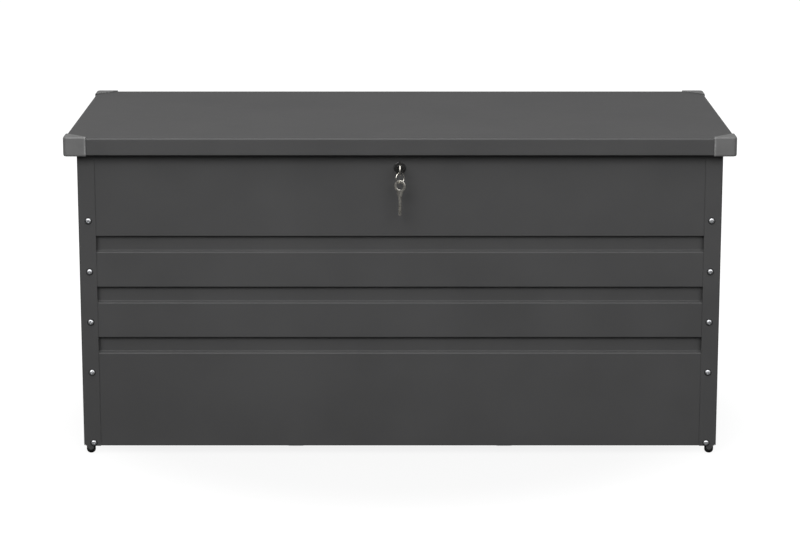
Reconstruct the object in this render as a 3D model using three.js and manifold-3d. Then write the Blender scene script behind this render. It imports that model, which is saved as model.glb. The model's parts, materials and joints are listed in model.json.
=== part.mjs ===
// A lockable deck storage box of folded sheet steel: four grooved walls screwed to corner posts,
// a floor on two ribs, an overhanging lid with moulded corner caps on three rear hinges and two gas
// struts, and a cam lock with a key, a split ring and a spare key.
//
// Millimetres, +Z up, origin on the ground under the middle of the box.
// +X is the width and the front faces -Y. "Left" is the -X side.

import * as THREE from "three";
import { mergeVertices } from "three/addons/utils/BufferGeometryUtils.js";
import Module from "manifold-3d";

const wasm = await Module();
wasm.setup();

// ---------------------------------------------------------------- driving dimensions

const WIDTH = 1320;             // over the lid's corner caps
const DEPTH = 620;
const HEIGHT = 650;
const GAP = 0.3;                // between pieces that touch

// Body
const OVERHANG_SIDE = 24;       // the lid's reach past the body
const OVERHANG_FRONT = 25;
const BODY_BOTTOM = 16.5;        // underside of the walls, held up by the feet
const WALL_TOP = 638.5;
const SHEET = 0.8;              // walls, floor and lid
const POST_SHEET = 1.2;         // posts, rails, ribs and brackets
const POST_LEG = 34;
const BOTTOM_FLANGE = 18;       // inward fold under each wall, which the floor rests on
const GROOVE_DEPTH = 8;
const GROOVE_HEIGHT = 32;
const GROOVE_LEDGE = 3;         // rise of the sloped ledge at a groove's foot
const GROOVE_PITCH = 103;
const GROOVE_BOTTOM = 208.5;    // lowest groove
const GROOVE_COUNT = 3;
const RAIL_FLANGE = 16;
const RAIL_DROP = 27;           // the rail's leg down the inside of the wall

// Feet and the rounded tabs of the posts in front of them
const FOOT_RADIUS = 9;
const FOOT_INSET_X = 13;        // foot's centre from the body's faces
const FOOT_INSET_Y = 12.5;
const TAB_DROP = 8;
const CORNER_CUT = 4.5;

// Lid
const LID_SKIRT = 35;
const LID_CORNER = 6;
const LID_HEM = 9;
const REAR_HEM = 3.5;
const CAP_LEG = 45;
const CAP_WALL = 1.7;
const CAP_DROP = 1.7;           // caps below the skirt
const STIFFENER_WIDTH = 50;
const STIFFENER_DEPTH = 13.7;
const STIFFENER_SPACING = 330;
const STIFFENER_REAR = 235;     // end of all three, towards the hinges
const STIFFENER_CLEAR = 7;      // from the front rail to the outer two
const CENTRE_STIFFENER_FRONT = -222;  // behind the strike
const BUMPER_RADIUS = 6;
const BUMPER_X = 560;

// Hat sections: the floor's ribs and the lid's stiffeners
const HAT_FLANGE = 12;
const HAT_SLOPE = 3;            // lean of the walls
const RIB_WIDTH = 60;
const RIB_DEPTH = 5;
const RIB_SPACING = 210;

// Hinges, behind the rear wall and inside the lid's rear skirt
const HINGE_SETBACK = 12;       // axis behind the body's rear face
const HINGE_HEIGHT = 621;
const HINGE_SPACING = 420;
const HINGE_LENGTH = 80;
const LEAF_DROP = 56;           // the body leaf's plate below the axis
const KNUCKLE_GAP = 0.25;       // each side of the joints between knuckles
const KNUCKLE_RADIUS = 5;
const PIN_RADIUS = 2.5;

// Gas struts. Both ball pivots are the same distance from the hinge axis, so a strut
// always turns by exactly half of the lid's angle.
const STRUT_REACH = 240;        // ball pivots from the hinge axis
const STRUT_X = 594;            // struts' plane from the middle
const STRUT_LOW_ANGLE = 66;     // degrees below level, hinge axis to the lower ball
const STRUT_LID_RISE = 6;       // upper ball above the hinge axis, lid shut
const STRUT_ROD_LENGTH = 240;
const STRUT_TUBE_START = 12;    // both measured from the upper ball
const STRUT_TUBE_END = 244;
const ROD_RADIUS = 4;
const TUBE_RADIUS = 9;
const BALL_RADIUS = 5;
const BALL_PLAY = 0.4;          // between a ball and its socket
const BALL_STUD_RADIUS = 3;
const SOCKET_RADIUS = 8;
const SOCKET_BACK = 7.5;        // the socket's closed side, from the ball's middle
const SOCKET_WALL = 2;
const SOCKET_MOUTH = 7;         // its open side
const STEM_START = 6.5;         // where the rod and the tube join their sockets
const BRACKET_STANDOFF = 12.5;  // brackets' standing plates from the struts' plane
const BODY_BRACKET_LENGTH = 58;
const BODY_BRACKET_HEIGHT = 30;
const BODY_BRACKET_FLANGE = 14;
const BODY_BRACKET_DROP = 3;    // the bracket's middle below the ball
const LID_BRACKET_LENGTH = 40;
const LID_BRACKET_FLANGE = 32;
const LID_BRACKET_DROP = 9;     // its plate below the ball

// Lock and keys
const LOCK_Z = 585;
const LOCK_BARREL_RADIUS = 9;
const LOCK_BARREL_LENGTH = 34;
const LOCK_FACE_RADIUS = 12;
const LOCK_FACE = 2;            // thickness of the lock's front flange
const PLUG_RADIUS = 6;
const LOCK_NUT_RADIUS = 14;
const LOCK_NUT = 5;             // its thickness
const CAM_REACH = 30;
const CAM_WIDTH = 12;
const CAM_SHEET = 2;
const CAM_HOOK = 6.5;           // the folded tip's reach towards the front
const CAM_NUT_RADIUS = 6.5;
const CAM_NUT = 4;
const CAM_STUD_RADIUS = 3.7;
const STRIKE_TOP_HALF = 20;     // half widths of the strike's top, its hanging plate and its lip
const STRIKE_HALF = 14;
const STRIKE_LIP_HALF = 8;
const STRIKE_TOP_DEPTH = 26;
const KEY_THICKNESS = 2;
const KEY_BLADE = 34;
const KEY_BLADE_WIDTH = 7;
const KEY_NECK = 13;
const BOW_RADIUS = 12;
const BOW_HOLE = 7;
const RING_RADIUS = 11.2;       // middle of the wire
const WIRE_RADIUS = 0.9;
const RING_PLAY = 1.2;          // clearance of the wire in a bow's hole
const RING_TWIST = 45;          // degrees, the hanging ring about the vertical
const SPARE_TWIST = -20;        // degrees, the spare key's bow from facing the front

// ---------------------------------------------------------------- worked out from them

const bodyX = WIDTH / 2 - OVERHANG_SIDE;           // outer faces of the posts
const bodyY = DEPTH / 2 - OVERHANG_FRONT;
const wallX = bodyX - POST_SHEET - GAP;            // outer faces of the walls
const wallY = bodyY - POST_SHEET - GAP;
const lidX = WIDTH / 2 - CAP_WALL - GAP;           // outer faces of the lid's skirts
const lidY = DEPTH / 2 - CAP_WALL - GAP;
const lidTop = HEIGHT - CAP_WALL - GAP;
const lidUnder = lidTop - SHEET;
const skirtBottom = lidTop - LID_SKIRT;
const railBottom = WALL_TOP + GAP;
const railTop = railBottom + POST_SHEET;
const hingeY = bodyY + HINGE_SETBACK;
const floorBottom = BODY_BOTTOM + SHEET + GAP;
const floorRibEnd = wallY - BOTTOM_FLANGE - GAP;

// ---------------------------------------------------------------- materials

const coated = { color: 0x474747, roughness: 0.55, metalness: 0.2 };
const capPlastic = { color: 0x6e6e6e, roughness: 0.6, metalness: 0 };
const rubber = { color: 0x0c0c0c, roughness: 0.8, metalness: 0 };
const zinc = { color: 0xb9bbbd, roughness: 0.35, metalness: 1 };
const nickel = { color: 0xc9c8c4, roughness: 0.2, metalness: 1 };
const blackPaint = { color: 0x17181a, roughness: 0.35, metalness: 0.3 };

// ---------------------------------------------------------------- shaping helpers

const group = new THREE.Group();

function add(name, finish, geometry, place = new THREE.Vector3(), turnX = 0) {
  const mesh = new THREE.Mesh(geometry, new THREE.MeshStandardMaterial(finish));
  mesh.name = name;
  mesh.position.copy(place);
  mesh.rotation.x = turnX;
  group.add(mesh);
}

function toSolid(geometry) {
  const bare = geometry.clone();
  bare.deleteAttribute("normal");
  bare.deleteAttribute("uv");
  const merged = mergeVertices(bare, 1e-4);
  return new wasm.Manifold(new wasm.Mesh({
    numProp: 3,
    vertProperties: new Float32Array(merged.attributes.position.array),
    triVerts: new Uint32Array(merged.index.array),
  }));
}

function toGeometry(solid) {
  const mesh = solid.getMesh();
  const geometry = new THREE.BufferGeometry();
  geometry.setAttribute("position", new THREE.BufferAttribute(mesh.vertProperties, 3));
  geometry.setIndex(new THREE.BufferAttribute(mesh.triVerts, 1));
  return geometry;
}

const join = (...pieces) => toGeometry(pieces.map(toSolid).reduce((a, b) => a.add(b)));
const cut = (piece, ...tools) => (
  toGeometry(tools.map(toSolid).reduce((a, b) => a.subtract(b), toSolid(piece)))
);
const keep = (piece, region) => toGeometry(toSolid(piece).intersect(toSolid(region)));

// A block between two limits on each axis.
function block([x0, x1], [y0, y1], [z0, z1]) {
  return new THREE.BoxGeometry(x1 - x0, y1 - y0, z1 - z0)
    .translate((x0 + x1) / 2, (y0 + y1) / 2, (z0 + z1) / 2);
}

// A flat shape extruded upwards between two heights.
function upright(shape, z0, z1, curveSegments = 4) {
  return new THREE.ExtrudeGeometry(shape, { depth: z1 - z0, bevelEnabled: false, curveSegments })
    .translate(0, 0, z0);
}

// A shape drawn as (along the outward direction, height), extruded evenly to both sides.
function sideways(shape, outward, halfLength, curveSegments = 4) {
  const up = new THREE.Vector3(0, 0, 1);
  const along = new THREE.Vector3().crossVectors(outward, up);
  return new THREE.ExtrudeGeometry(shape, { depth: 2 * halfLength, bevelEnabled: false, curveSegments })
    .translate(0, 0, -halfLength)
    .applyMatrix4(new THREE.Matrix4().makeBasis(outward, up, along));
}

// A cylinder along X or Y between two limits.
function rod(axis, radius, from, to, segments = 16) {
  const cylinder = new THREE.CylinderGeometry(radius, radius, to - from, segments);
  if (axis === "x") cylinder.rotateZ(-Math.PI / 2).translate((from + to) / 2, 0, 0);
  else cylinder.translate(0, (from + to) / 2, 0);
  return cylinder;
}

// A profile of [radius, height] pairs, starting and ending on the axis, turned about Y.
function turned(profile, segments = 16) {
  return new THREE.LatheGeometry(profile.map(([r, y]) => new THREE.Vector2(r, y)), segments);
}

// The outline of a folded sheet: the path of its outer face, and the same path set in by the
// sheet's thickness to the left of travel, with mitred corners.
function foldedOutline(path, thickness) {
  const points = path.map(([u, v]) => new THREE.Vector2(u, v));
  const left = points.slice(1).map((point, i) => {
    const travel = point.clone().sub(points[i]).normalize();
    return new THREE.Vector2(-travel.y, travel.x);
  });
  const inner = points.map((point, i) => {
    const before = left[Math.max(i - 1, 0)];
    const after = left[Math.min(i, left.length - 1)];
    const mitre = before.clone().add(after).normalize();
    return point.clone().addScaledVector(mitre, thickness / mitre.dot(before));
  });
  return new THREE.Shape([...points, ...inner.reverse()]);
}

function polygon(corners) {
  return new THREE.Shape(corners.map(([u, v]) => new THREE.Vector2(u, v)));
}

function roundedRectangle(halfX, halfY, radius) {
  const shape = new THREE.Shape();
  const x = halfX - radius;
  const y = halfY - radius;
  shape.absarc(x, y, radius, 0, Math.PI / 2);
  shape.absarc(-x, y, radius, Math.PI / 2, Math.PI);
  shape.absarc(-x, -y, radius, Math.PI, Math.PI * 1.5);
  shape.absarc(x, -y, radius, Math.PI * 1.5, Math.PI * 2);
  return shape;
}

const FRONT = new THREE.Vector3(0, -1, 0);
const REAR = new THREE.Vector3(0, 1, 0);
const LEFT = new THREE.Vector3(-1, 0, 0);
const RIGHT = new THREE.Vector3(1, 0, 0);

const SIDES = [["left", -1], ["right", 1]];
const CORNERS = [
  ["front_left", -1, -1], ["front_right", 1, -1], ["rear_left", -1, 1], ["rear_right", 1, 1],
];
const mirrored = (geometry, sideX, sideY) => toGeometry(toSolid(geometry).scale([sideX, sideY, 1]));

// ---------------------------------------------------------------- walls

// A wall's outer face from its bottom flange up, past each groove: a sloped ledge outwards at
// the groove's foot and a square step at its head.
function wallPath(reach) {
  const path = [[reach - BOTTOM_FLANGE, BODY_BOTTOM], [reach, BODY_BOTTOM]];
  for (let i = 0; i < GROOVE_COUNT; i += 1) {
    const foot = GROOVE_BOTTOM + i * GROOVE_PITCH;
    const head = foot + GROOVE_HEIGHT;
    const bed = reach - GROOVE_DEPTH;
    path.push([reach, foot], [bed, foot + GROOVE_LEDGE], [bed, head], [reach, head]);
  }
  path.push([reach, WALL_TOP]);
  return path;
}

const frontWallHalf = wallX - SHEET - GAP;
const sideWallHalf = wallY - BOTTOM_FLANGE - GAP;
const wall = (outward, reach, half) => sideways(foldedOutline(wallPath(reach), SHEET), outward, half);
const lockHole = rod("y", LOCK_BARREL_RADIUS + GAP, -wallY - 5, -wallY + 5, 24)
  .translate(0, 0, LOCK_Z);

add("front_panel", coated, cut(wall(FRONT, wallY, frontWallHalf), lockHole));
add("rear_panel", coated, wall(REAR, wallY, frontWallHalf));
add("side_panel_left", coated, wall(LEFT, wallX, sideWallHalf));
add("side_panel_right", coated, wall(RIGHT, wallX, sideWallHalf));

// ---------------------------------------------------------------- corner posts and feet

// One leg of a post seen square on, from the corner inwards. The front and rear legs have a tab
// in front of the foot.
function postLegShape(tabbed) {
  const tabOut = FOOT_INSET_X - 6;
  const tabIn = FOOT_INSET_X + 6;
  const tip = BODY_BOTTOM - TAB_DROP;
  const tab = [[tabOut, BODY_BOTTOM], [tabOut + 1, tip], [tabIn - 1, tip], [tabIn, BODY_BOTTOM]];
  return [
    [0, WALL_TOP], [0, BODY_BOTTOM + CORNER_CUT], [CORNER_CUT, BODY_BOTTOM], ...(tabbed ? tab : []),
    [POST_LEG, BODY_BOTTOM], [POST_LEG, WALL_TOP],
  ];
}

// The leg in the XZ plane and the leg in the YZ plane, both for the rear right corner.
function cornerPost() {
  const acrossX = polygon(postLegShape(true).map(([s, z]) => [bodyX - s, z]));
  const acrossY = polygon(postLegShape(false).map(([s, z]) => [bodyY - s, z]));
  const wide = new THREE.ExtrudeGeometry(acrossX, { depth: POST_SHEET, bevelEnabled: false })
    .rotateX(Math.PI / 2).translate(0, bodyY, 0);
  const deep = sideways(acrossY, REAR, POST_SHEET / 2).translate(bodyX - POST_SHEET / 2, 0, 0);
  return join(wide, deep);
}

// A domed rubber foot, flat where it stands.
function foot() {
  const height = BODY_BOTTOM - GAP;
  const dome = 7;
  return turned([
    [0, 0], [5, 0], [FOOT_RADIUS * 0.78, dome * 0.25], [FOOT_RADIUS * 0.96, dome * 0.65],
    [FOOT_RADIUS, dome], [FOOT_RADIUS, height], [0, height],
  ]).rotateX(Math.PI / 2);
}

for (const [corner, sideX, sideY] of CORNERS) {
  add(`corner_post_${corner}`, coated, mirrored(cornerPost(), sideX, sideY));
  const place = new THREE.Vector3(sideX * (bodyX - FOOT_INSET_X), sideY * (bodyY - FOOT_INSET_Y), 0);
  add(`foot_${corner}`, rubber, foot(), place);
}

// ---------------------------------------------------------------- top rails

// A rail covers the wall's top edge, with a leg down the wall's inside and a flange inwards.
function railShape(bodyReach, wallReach) {
  const inner = bodyReach - RAIL_FLANGE;
  const legOut = wallReach - SHEET - GAP;
  const legIn = legOut - POST_SHEET;
  return polygon([
    [bodyReach, railBottom], [bodyReach, railTop], [inner, railTop], [inner, railBottom],
    [legIn, railBottom], [legIn, railBottom - RAIL_DROP], [legOut, railBottom - RAIL_DROP],
    [legOut, railBottom],
  ]);
}

const frontRailHalf = wallX;
const sideRailHalf = bodyY - RAIL_FLANGE - GAP;
add("top_rail_front", coated, sideways(railShape(bodyY, wallY), FRONT, frontRailHalf));
add("top_rail_rear", coated, sideways(railShape(bodyY, wallY), REAR, frontRailHalf));
add("top_rail_left", coated, sideways(railShape(bodyX, wallX), LEFT, sideRailHalf));
add("top_rail_right", coated, sideways(railShape(bodyX, wallX), RIGHT, sideRailHalf));

// ---------------------------------------------------------------- floor

const floorX = wallX - SHEET - 2 * GAP;
const floorY = wallY - SHEET - GAP;
const floorSlab = block([-floorX, floorX], [-floorY, floorY], [floorBottom, floorBottom + SHEET]);
add("floor_panel", coated, floorSlab);

// A hat section: two flanges against what it stiffens and a raised channel between them.
// It is drawn with the flanges at height 0 and the channel standing up.
function hatPath(width, depth, flange) {
  const half = width / 2;
  return [[half, 0], [half - flange, 0], [half - flange - HAT_SLOPE, depth],
    [-half + flange + HAT_SLOPE, depth], [-half + flange, 0], [-half, 0]];
}

// A hat section lying along Y under a surface, between two ends.
function hatUnder(x, surfaceZ, [y0, y1], width, depth, flange) {
  const below = hatPath(width, depth, flange).map(([u, v]) => [-u, surfaceZ - v]);
  return sideways(foldedOutline(below, POST_SHEET), RIGHT, (y1 - y0) / 2)
    .translate(x, (y0 + y1) / 2, 0);
}

for (const [side, sign] of SIDES) {
  const span = [-floorRibEnd, floorRibEnd];
  const top = floorBottom - GAP - POST_SHEET;
  const rib = hatUnder(sign * RIB_SPACING, top, span, RIB_WIDTH, RIB_DEPTH, HAT_FLANGE);
  add(`floor_rib_${side}`, zinc, rib);
}

// ---------------------------------------------------------------- lid

// A tray with its hem folded inwards all round, narrow along the hinge side.
function lidPanel() {
  const hemTop = skirtBottom + SHEET;
  return cut(
    upright(roundedRectangle(lidX, lidY, LID_CORNER), skirtBottom, lidTop),
    upright(roundedRectangle(lidX - SHEET, lidY - SHEET, LID_CORNER - SHEET), hemTop, lidUnder),
    block(
      [-lidX + LID_HEM, lidX - LID_HEM],
      [-lidY + LID_HEM, lidY - REAR_HEM],
      [skirtBottom - 1, hemTop + 1],
    ),
  );
}
add("lid_panel", coated, lidPanel());

// A moulded cap round one lid corner: two walls and a three-cornered web on top.
function lidCap() {
  const outer = upright(roundedRectangle(WIDTH / 2, DEPTH / 2, LID_CORNER + CAP_WALL + GAP),
    skirtBottom - CAP_DROP, HEIGHT);
  const inner = upright(roundedRectangle(lidX + GAP, lidY + GAP, LID_CORNER + GAP), 0, lidTop + GAP);
  const [x, y] = [WIDTH / 2, DEPTH / 2];
  const webSetback = 5;           // from the outer faces to the ends of the web's slanted edge
  const region = upright(polygon([
    [x - CAP_LEG, y + 1], [x - CAP_LEG, y - webSetback],
    [x - webSetback, y - CAP_LEG], [x + 1, y - CAP_LEG], [x + 1, y + 1],
  ]), 0, HEIGHT + 1);
  return keep(cut(outer, inner), region);
}
for (const [corner, sideX, sideY] of CORNERS) {
  add(`lid_cap_${corner}`, capPlastic, mirrored(lidCap(), sideX, sideY));
}

const outerStiffenerFront = -bodyY + RAIL_FLANGE + STIFFENER_CLEAR;
const STIFFENERS = [
  ["left", -1, outerStiffenerFront],
  ["centre", 0, CENTRE_STIFFENER_FRONT],
  ["right", 1, outerStiffenerFront],
];
for (const [name, sign, start] of STIFFENERS) {
  const top = lidUnder - GAP - POST_SHEET;
  const depth = STIFFENER_DEPTH - POST_SHEET;
  const span = [start, STIFFENER_REAR];
  const hat = hatUnder(sign * STIFFENER_SPACING, top, span, STIFFENER_WIDTH, depth, HAT_FLANGE);
  add(`lid_stiffener_${name}`, coated, hat);
}

for (const [side, sign] of SIDES) {
  const height = lidUnder - GAP - (railTop + GAP);
  const profile = [[0, 0], [BUMPER_RADIUS, 0], [BUMPER_RADIUS - 1, height], [0, height]];
  const bumper = turned(profile).rotateX(Math.PI / 2);
  const place = new THREE.Vector3(sign * BUMPER_X, -bodyY + RAIL_FLANGE / 2, railTop + GAP);
  add(`lid_bumper_${side}`, rubber, bumper, place);
}

// ---------------------------------------------------------------- hinges

// Both leaves are drawn round the hinge axis, with the length along X and the middle at 0.
const boreX = rod("x", PIN_RADIUS + GAP, -HINGE_LENGTH, HINGE_LENGTH, 12);
const third = HINGE_LENGTH / 3;
const knuckle = (from, to) => rod("x", KNUCKLE_RADIUS, from, to, 12);
const strip = (path, from, to) => sideways(foldedOutline(path, POST_SHEET), REAR, (to - from) / 2)
  .translate((from + to) / 2, 0, 0);

// Plate on the rear wall, cranked outwards at 45 degrees to the two outer knuckles.
function bodyLeaf() {
  const plateIn = wallY + GAP - hingeY;
  const plateOut = plateIn + POST_SHEET;
  const armOut = POST_SHEET - KNUCKLE_RADIUS;
  const crankTop = -KNUCKLE_RADIUS;
  const crankFoot = crankTop - (armOut - plateOut);
  const crank = [[plateOut, -LEAF_DROP], [plateOut, crankFoot], [armOut, crankTop], [armOut, 0]];
  const half = HINGE_LENGTH / 2;
  const plate = block([-half, half], [plateIn, plateOut], [-LEAF_DROP, crankFoot - 5]);
  const ends = [[-half, -third / 2 - KNUCKLE_GAP], [third / 2 + KNUCKLE_GAP, half]];
  const arms = ends.flatMap(([from, to]) => [strip(crank, from, to), knuckle(from, to)]);
  return cut(join(plate, ...arms), boreX);
}

// Plate on the lid's rear skirt, cranked inwards to the middle knuckle.
function lidLeaf() {
  const plateOut = lidY - SHEET - GAP - hingeY;
  const plateIn = plateOut - POST_SHEET;
  const top = lidUnder - 1 - HINGE_HEIGHT;
  const from = -third / 2 + KNUCKLE_GAP;
  const crankFoot = KNUCKLE_RADIUS - 0.5;
  const crankTop = crankFoot + plateOut - KNUCKLE_RADIUS;
  const crank = [
    [KNUCKLE_RADIUS, 0], [KNUCKLE_RADIUS, crankFoot], [plateOut, crankTop], [plateOut, top],
  ];
  const plate = block([-HINGE_LENGTH / 2, HINGE_LENGTH / 2], [plateIn, plateOut], [crankTop, top]);
  return cut(join(plate, strip(crank, from, -from), knuckle(from, -from)), boreX);
}

function hingePin() {
  const half = HINGE_LENGTH / 2 + GAP;
  const head = 1.5;
  return join(rod("x", PIN_RADIUS, -half - head, half + head, 12),
    rod("x", PIN_RADIUS + 1, -half - head, -half, 12), rod("x", PIN_RADIUS + 1, half, half + head, 12));
}

for (const [name, sign] of [["left", -1], ["centre", 0], ["right", 1]]) {
  const place = new THREE.Vector3(sign * HINGE_SPACING, hingeY, HINGE_HEIGHT);
  add(`hinge_body_leaf_${name}`, zinc, bodyLeaf(), place);
  add(`hinge_lid_leaf_${name}`, zinc, lidLeaf(), place);
  add(`hinge_pin_${name}`, zinc, hingePin(), place);
}

// ---------------------------------------------------------------- gas struts

const lowAngle = THREE.MathUtils.degToRad(STRUT_LOW_ANGLE);
// The ball pivots as (Y, Z).
const hingeAxis = new THREE.Vector2(hingeY, HINGE_HEIGHT);
const lowBall = new THREE.Vector2(-Math.cos(lowAngle), -Math.sin(lowAngle))
  .multiplyScalar(STRUT_REACH).add(hingeAxis);
const highBall = new THREE.Vector2(-Math.sqrt(STRUT_REACH ** 2 - STRUT_LID_RISE ** 2), STRUT_LID_RISE)
  .add(hingeAxis);
const strutTurn = Math.atan2(highBall.y - lowBall.y, highBall.x - lowBall.x);
const plateX = STRUT_X + BRACKET_STANDOFF;

// A round socket over the ball, open towards the bracket. The strut lies along Y from its middle.
function withSocket(stem, sign) {
  const socket = rod("x", SOCKET_RADIUS, -SOCKET_BACK, SOCKET_MOUTH, 20);
  const mouth = rod("x", BALL_RADIUS + BALL_PLAY, SOCKET_WALL - SOCKET_BACK, 2 * SOCKET_MOUTH, 20);
  const part = cut(join(socket, stem), mouth);
  return sign > 0 ? part : mirrored(part, -1, 1);
}

const strutRod = (sign) => withSocket(rod("y", ROD_RADIUS, STEM_START, STRUT_ROD_LENGTH), sign);

// The tube is closed at its socket end and open where the rod enters.
function strutTube(sign) {
  const bore = ROD_RADIUS + 1;
  const neck = 5;
  const edge = 1.5;
  const boreEnd = STRUT_TUBE_START + 6;
  const shell = turned([
    [0, STEM_START], [neck, STEM_START], [neck, STRUT_TUBE_START],
    [TUBE_RADIUS - edge, STRUT_TUBE_START], [TUBE_RADIUS, STRUT_TUBE_START + edge],
    [TUBE_RADIUS, STRUT_TUBE_END - edge], [TUBE_RADIUS - edge, STRUT_TUBE_END],
    [bore, STRUT_TUBE_END], [bore, boreEnd], [0, boreEnd],
  ]);
  return withSocket(shell, sign);
}

// A ball on a stud, reaching inwards from a bracket's plate, drawn round the ball.
const ballStud = () => join(
  new THREE.SphereGeometry(BALL_RADIUS, 12, 8),
  rod("x", BALL_STUD_RADIUS, 0, BRACKET_STANDOFF + POST_SHEET / 2, 10),
);

// A raised bracket on the side wall, drawn for the right side.
function bodyBracket() {
  const stand = wallX - SHEET - GAP - POST_SHEET - plateX;
  const hat = foldedOutline(hatPath(BODY_BRACKET_LENGTH, stand, BODY_BRACKET_FLANGE), POST_SHEET);
  const depth = BODY_BRACKET_HEIGHT;
  const bracket = new THREE.ExtrudeGeometry(hat, { depth, bevelEnabled: false });
  const out = new THREE.Vector3(0, 1, 0);
  const inwards = new THREE.Vector3(-1, 0, 0);
  const up = new THREE.Vector3().crossVectors(out, inwards);
  bracket.translate(0, 0, -depth / 2).applyMatrix4(new THREE.Matrix4().makeBasis(out, inwards, up));
  bracket.translate(plateX + stand, lowBall.x, lowBall.y - BODY_BRACKET_DROP);
  return join(bracket, ballStud().translate(STRUT_X, lowBall.x, lowBall.y));
}

// An angle bracket under the lid, drawn for the right side.
function lidBracket() {
  const top = lidUnder - GAP;
  const span = [highBall.x - LID_BRACKET_LENGTH / 2, highBall.x + LID_BRACKET_LENGTH / 2];
  return join(
    block([plateX, plateX + LID_BRACKET_FLANGE], span, [top - POST_SHEET, top]),
    block([plateX, plateX + POST_SHEET], span, [highBall.y - LID_BRACKET_DROP, top]),
    ballStud().translate(STRUT_X, highBall.x, highBall.y),
  );
}

for (const [side, sign] of SIDES) {
  add(`strut_body_bracket_${side}`, zinc, mirrored(bodyBracket(), sign, 1));
  add(`strut_lid_bracket_${side}`, zinc, mirrored(lidBracket(), sign, 1));
  const low = new THREE.Vector3(sign * STRUT_X, lowBall.x, lowBall.y);
  const high = new THREE.Vector3(sign * STRUT_X, highBall.x, highBall.y);
  add(`strut_rod_${side}`, nickel, strutRod(sign), low, strutTurn);
  add(`strut_tube_${side}`, blackPaint, strutTube(sign), high, strutTurn + Math.PI);
}

// ---------------------------------------------------------------- cam lock

// Lock pieces are drawn round the lock's axis, which runs along Y at LOCK_Z.
const lockFaceBack = -wallY - GAP;
const plugFront = lockFaceBack - LOCK_FACE - GAP;
const barrelEnd = lockFaceBack + LOCK_BARREL_LENGTH;
const plugEnd = barrelEnd + GAP;
const camFront = plugEnd + GAP;
const lockPlace = new THREE.Vector3(0, 0, LOCK_Z);

add("lock_housing", nickel, cut(
  join(
    rod("y", LOCK_FACE_RADIUS, lockFaceBack - LOCK_FACE, lockFaceBack, 24),
    rod("y", LOCK_BARREL_RADIUS, lockFaceBack - 1, barrelEnd, 24),
  ),
  rod("y", PLUG_RADIUS + GAP, -DEPTH, 0, 24),
), lockPlace);

const nutFront = -wallY + SHEET + GAP;
add("lock_nut", zinc, cut(
  rod("y", LOCK_NUT_RADIUS, nutFront, nutFront + LOCK_NUT, 6),
  rod("y", LOCK_BARREL_RADIUS + GAP, -DEPTH, 0, 24),
), lockPlace);

const bladeEnd = plugFront - GAP + KEY_BLADE;
const keyway = block(
  [-KEY_THICKNESS / 2 - GAP, KEY_THICKNESS / 2 + GAP],
  [plugFront - 5, bladeEnd + 0.6],
  [-KEY_BLADE_WIDTH / 2 - GAP, KEY_BLADE_WIDTH / 2 + GAP],
);
const camRear = camFront + CAM_SHEET;
const camNut = [camRear + GAP, camRear + GAP + CAM_NUT];
add("lock_plug", nickel, join(
  cut(rod("y", PLUG_RADIUS, plugFront, plugEnd, 24), keyway),
  rod("y", CAM_STUD_RADIUS, plugEnd - 1, camNut[1] + 0.5, 16),
), lockPlace);

// The cam lies level to the left when unlocked and turns up behind the lid's strike. Its tip is
// folded forwards, over the strike's lip.
const studBore = rod("y", CAM_STUD_RADIUS + GAP, -DEPTH, 0, 16);
const camHalf = CAM_WIDTH / 2;
add("lock_cam", zinc, cut(
  join(
    rod("y", camHalf + 1, camFront, camRear, 20),
    block([-CAM_REACH, 0], [camFront, camRear], [-camHalf, camHalf]),
    block(
      [-CAM_REACH, -CAM_REACH + CAM_SHEET],
      [camFront - CAM_HOOK, camRear],
      [-camHalf + 1, camHalf - 1],
    ),
  ),
  studBore,
), lockPlace);
add("cam_nut", zinc, cut(rod("y", CAM_NUT_RADIUS, ...camNut, 6), studBore), lockPlace);

// The strike hangs from the lid in front of the cam, with a lip that the cam's tip goes over.
const strikeFront = camFront - CAM_HOOK - 4.5;
const strikeTop = lidUnder - GAP;
const lipTop = LOCK_Z + CAM_REACH - CAM_SHEET - 2.5;
const lipBottom = lipTop - POST_SHEET;
const lipRear = camFront - 2.6;
add("strike_plate", zinc, join(
  block(
    [-STRIKE_TOP_HALF, STRIKE_TOP_HALF],
    [strikeFront, strikeFront + STRIKE_TOP_DEPTH],
    [strikeTop - POST_SHEET, strikeTop],
  ),
  block([-STRIKE_HALF, STRIKE_HALF], [strikeFront, strikeFront + POST_SHEET], [lipBottom, strikeTop]),
  block([-STRIKE_LIP_HALF, STRIKE_LIP_HALF], [strikeFront, lipRear], [lipBottom, lipTop]),
));

// ---------------------------------------------------------------- keys and ring

// A flat key drawn along its length from the outer end of the bow to the tip of the blade.
function keyShape() {
  const neckEnd = 2 * BOW_RADIUS + KEY_NECK;
  const tip = neckEnd + KEY_BLADE;
  const half = KEY_BLADE_WIDTH / 2;
  const corner = 2;
  const shoulder = THREE.MathUtils.degToRad(50);
  const shape = new THREE.Shape();
  shape.absarc(BOW_RADIUS, 0, BOW_RADIUS, shoulder, 2 * Math.PI - shoulder);
  shape.lineTo(neckEnd, -half);
  shape.lineTo(tip - corner, -half);
  shape.lineTo(tip, -half + corner);
  shape.lineTo(tip, half - corner);
  shape.lineTo(tip - corner, half);
  shape.lineTo(neckEnd, half);
  const hole = new THREE.Path();
  hole.absarc(BOW_RADIUS, 0, BOW_HOLE, 0, 2 * Math.PI, true);
  shape.holes.push(hole);
  return shape;
}

// The key in the lock: its bow stands upright in front of the lock's axis.
const bowY = bladeEnd - KEY_BLADE - KEY_NECK - BOW_RADIUS;
const keyPlace = new THREE.Vector3(0, bowY - BOW_RADIUS, LOCK_Z);
add("key", nickel, sideways(keyShape(), REAR, KEY_THICKNESS / 2, 12), keyPlace);

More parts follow.
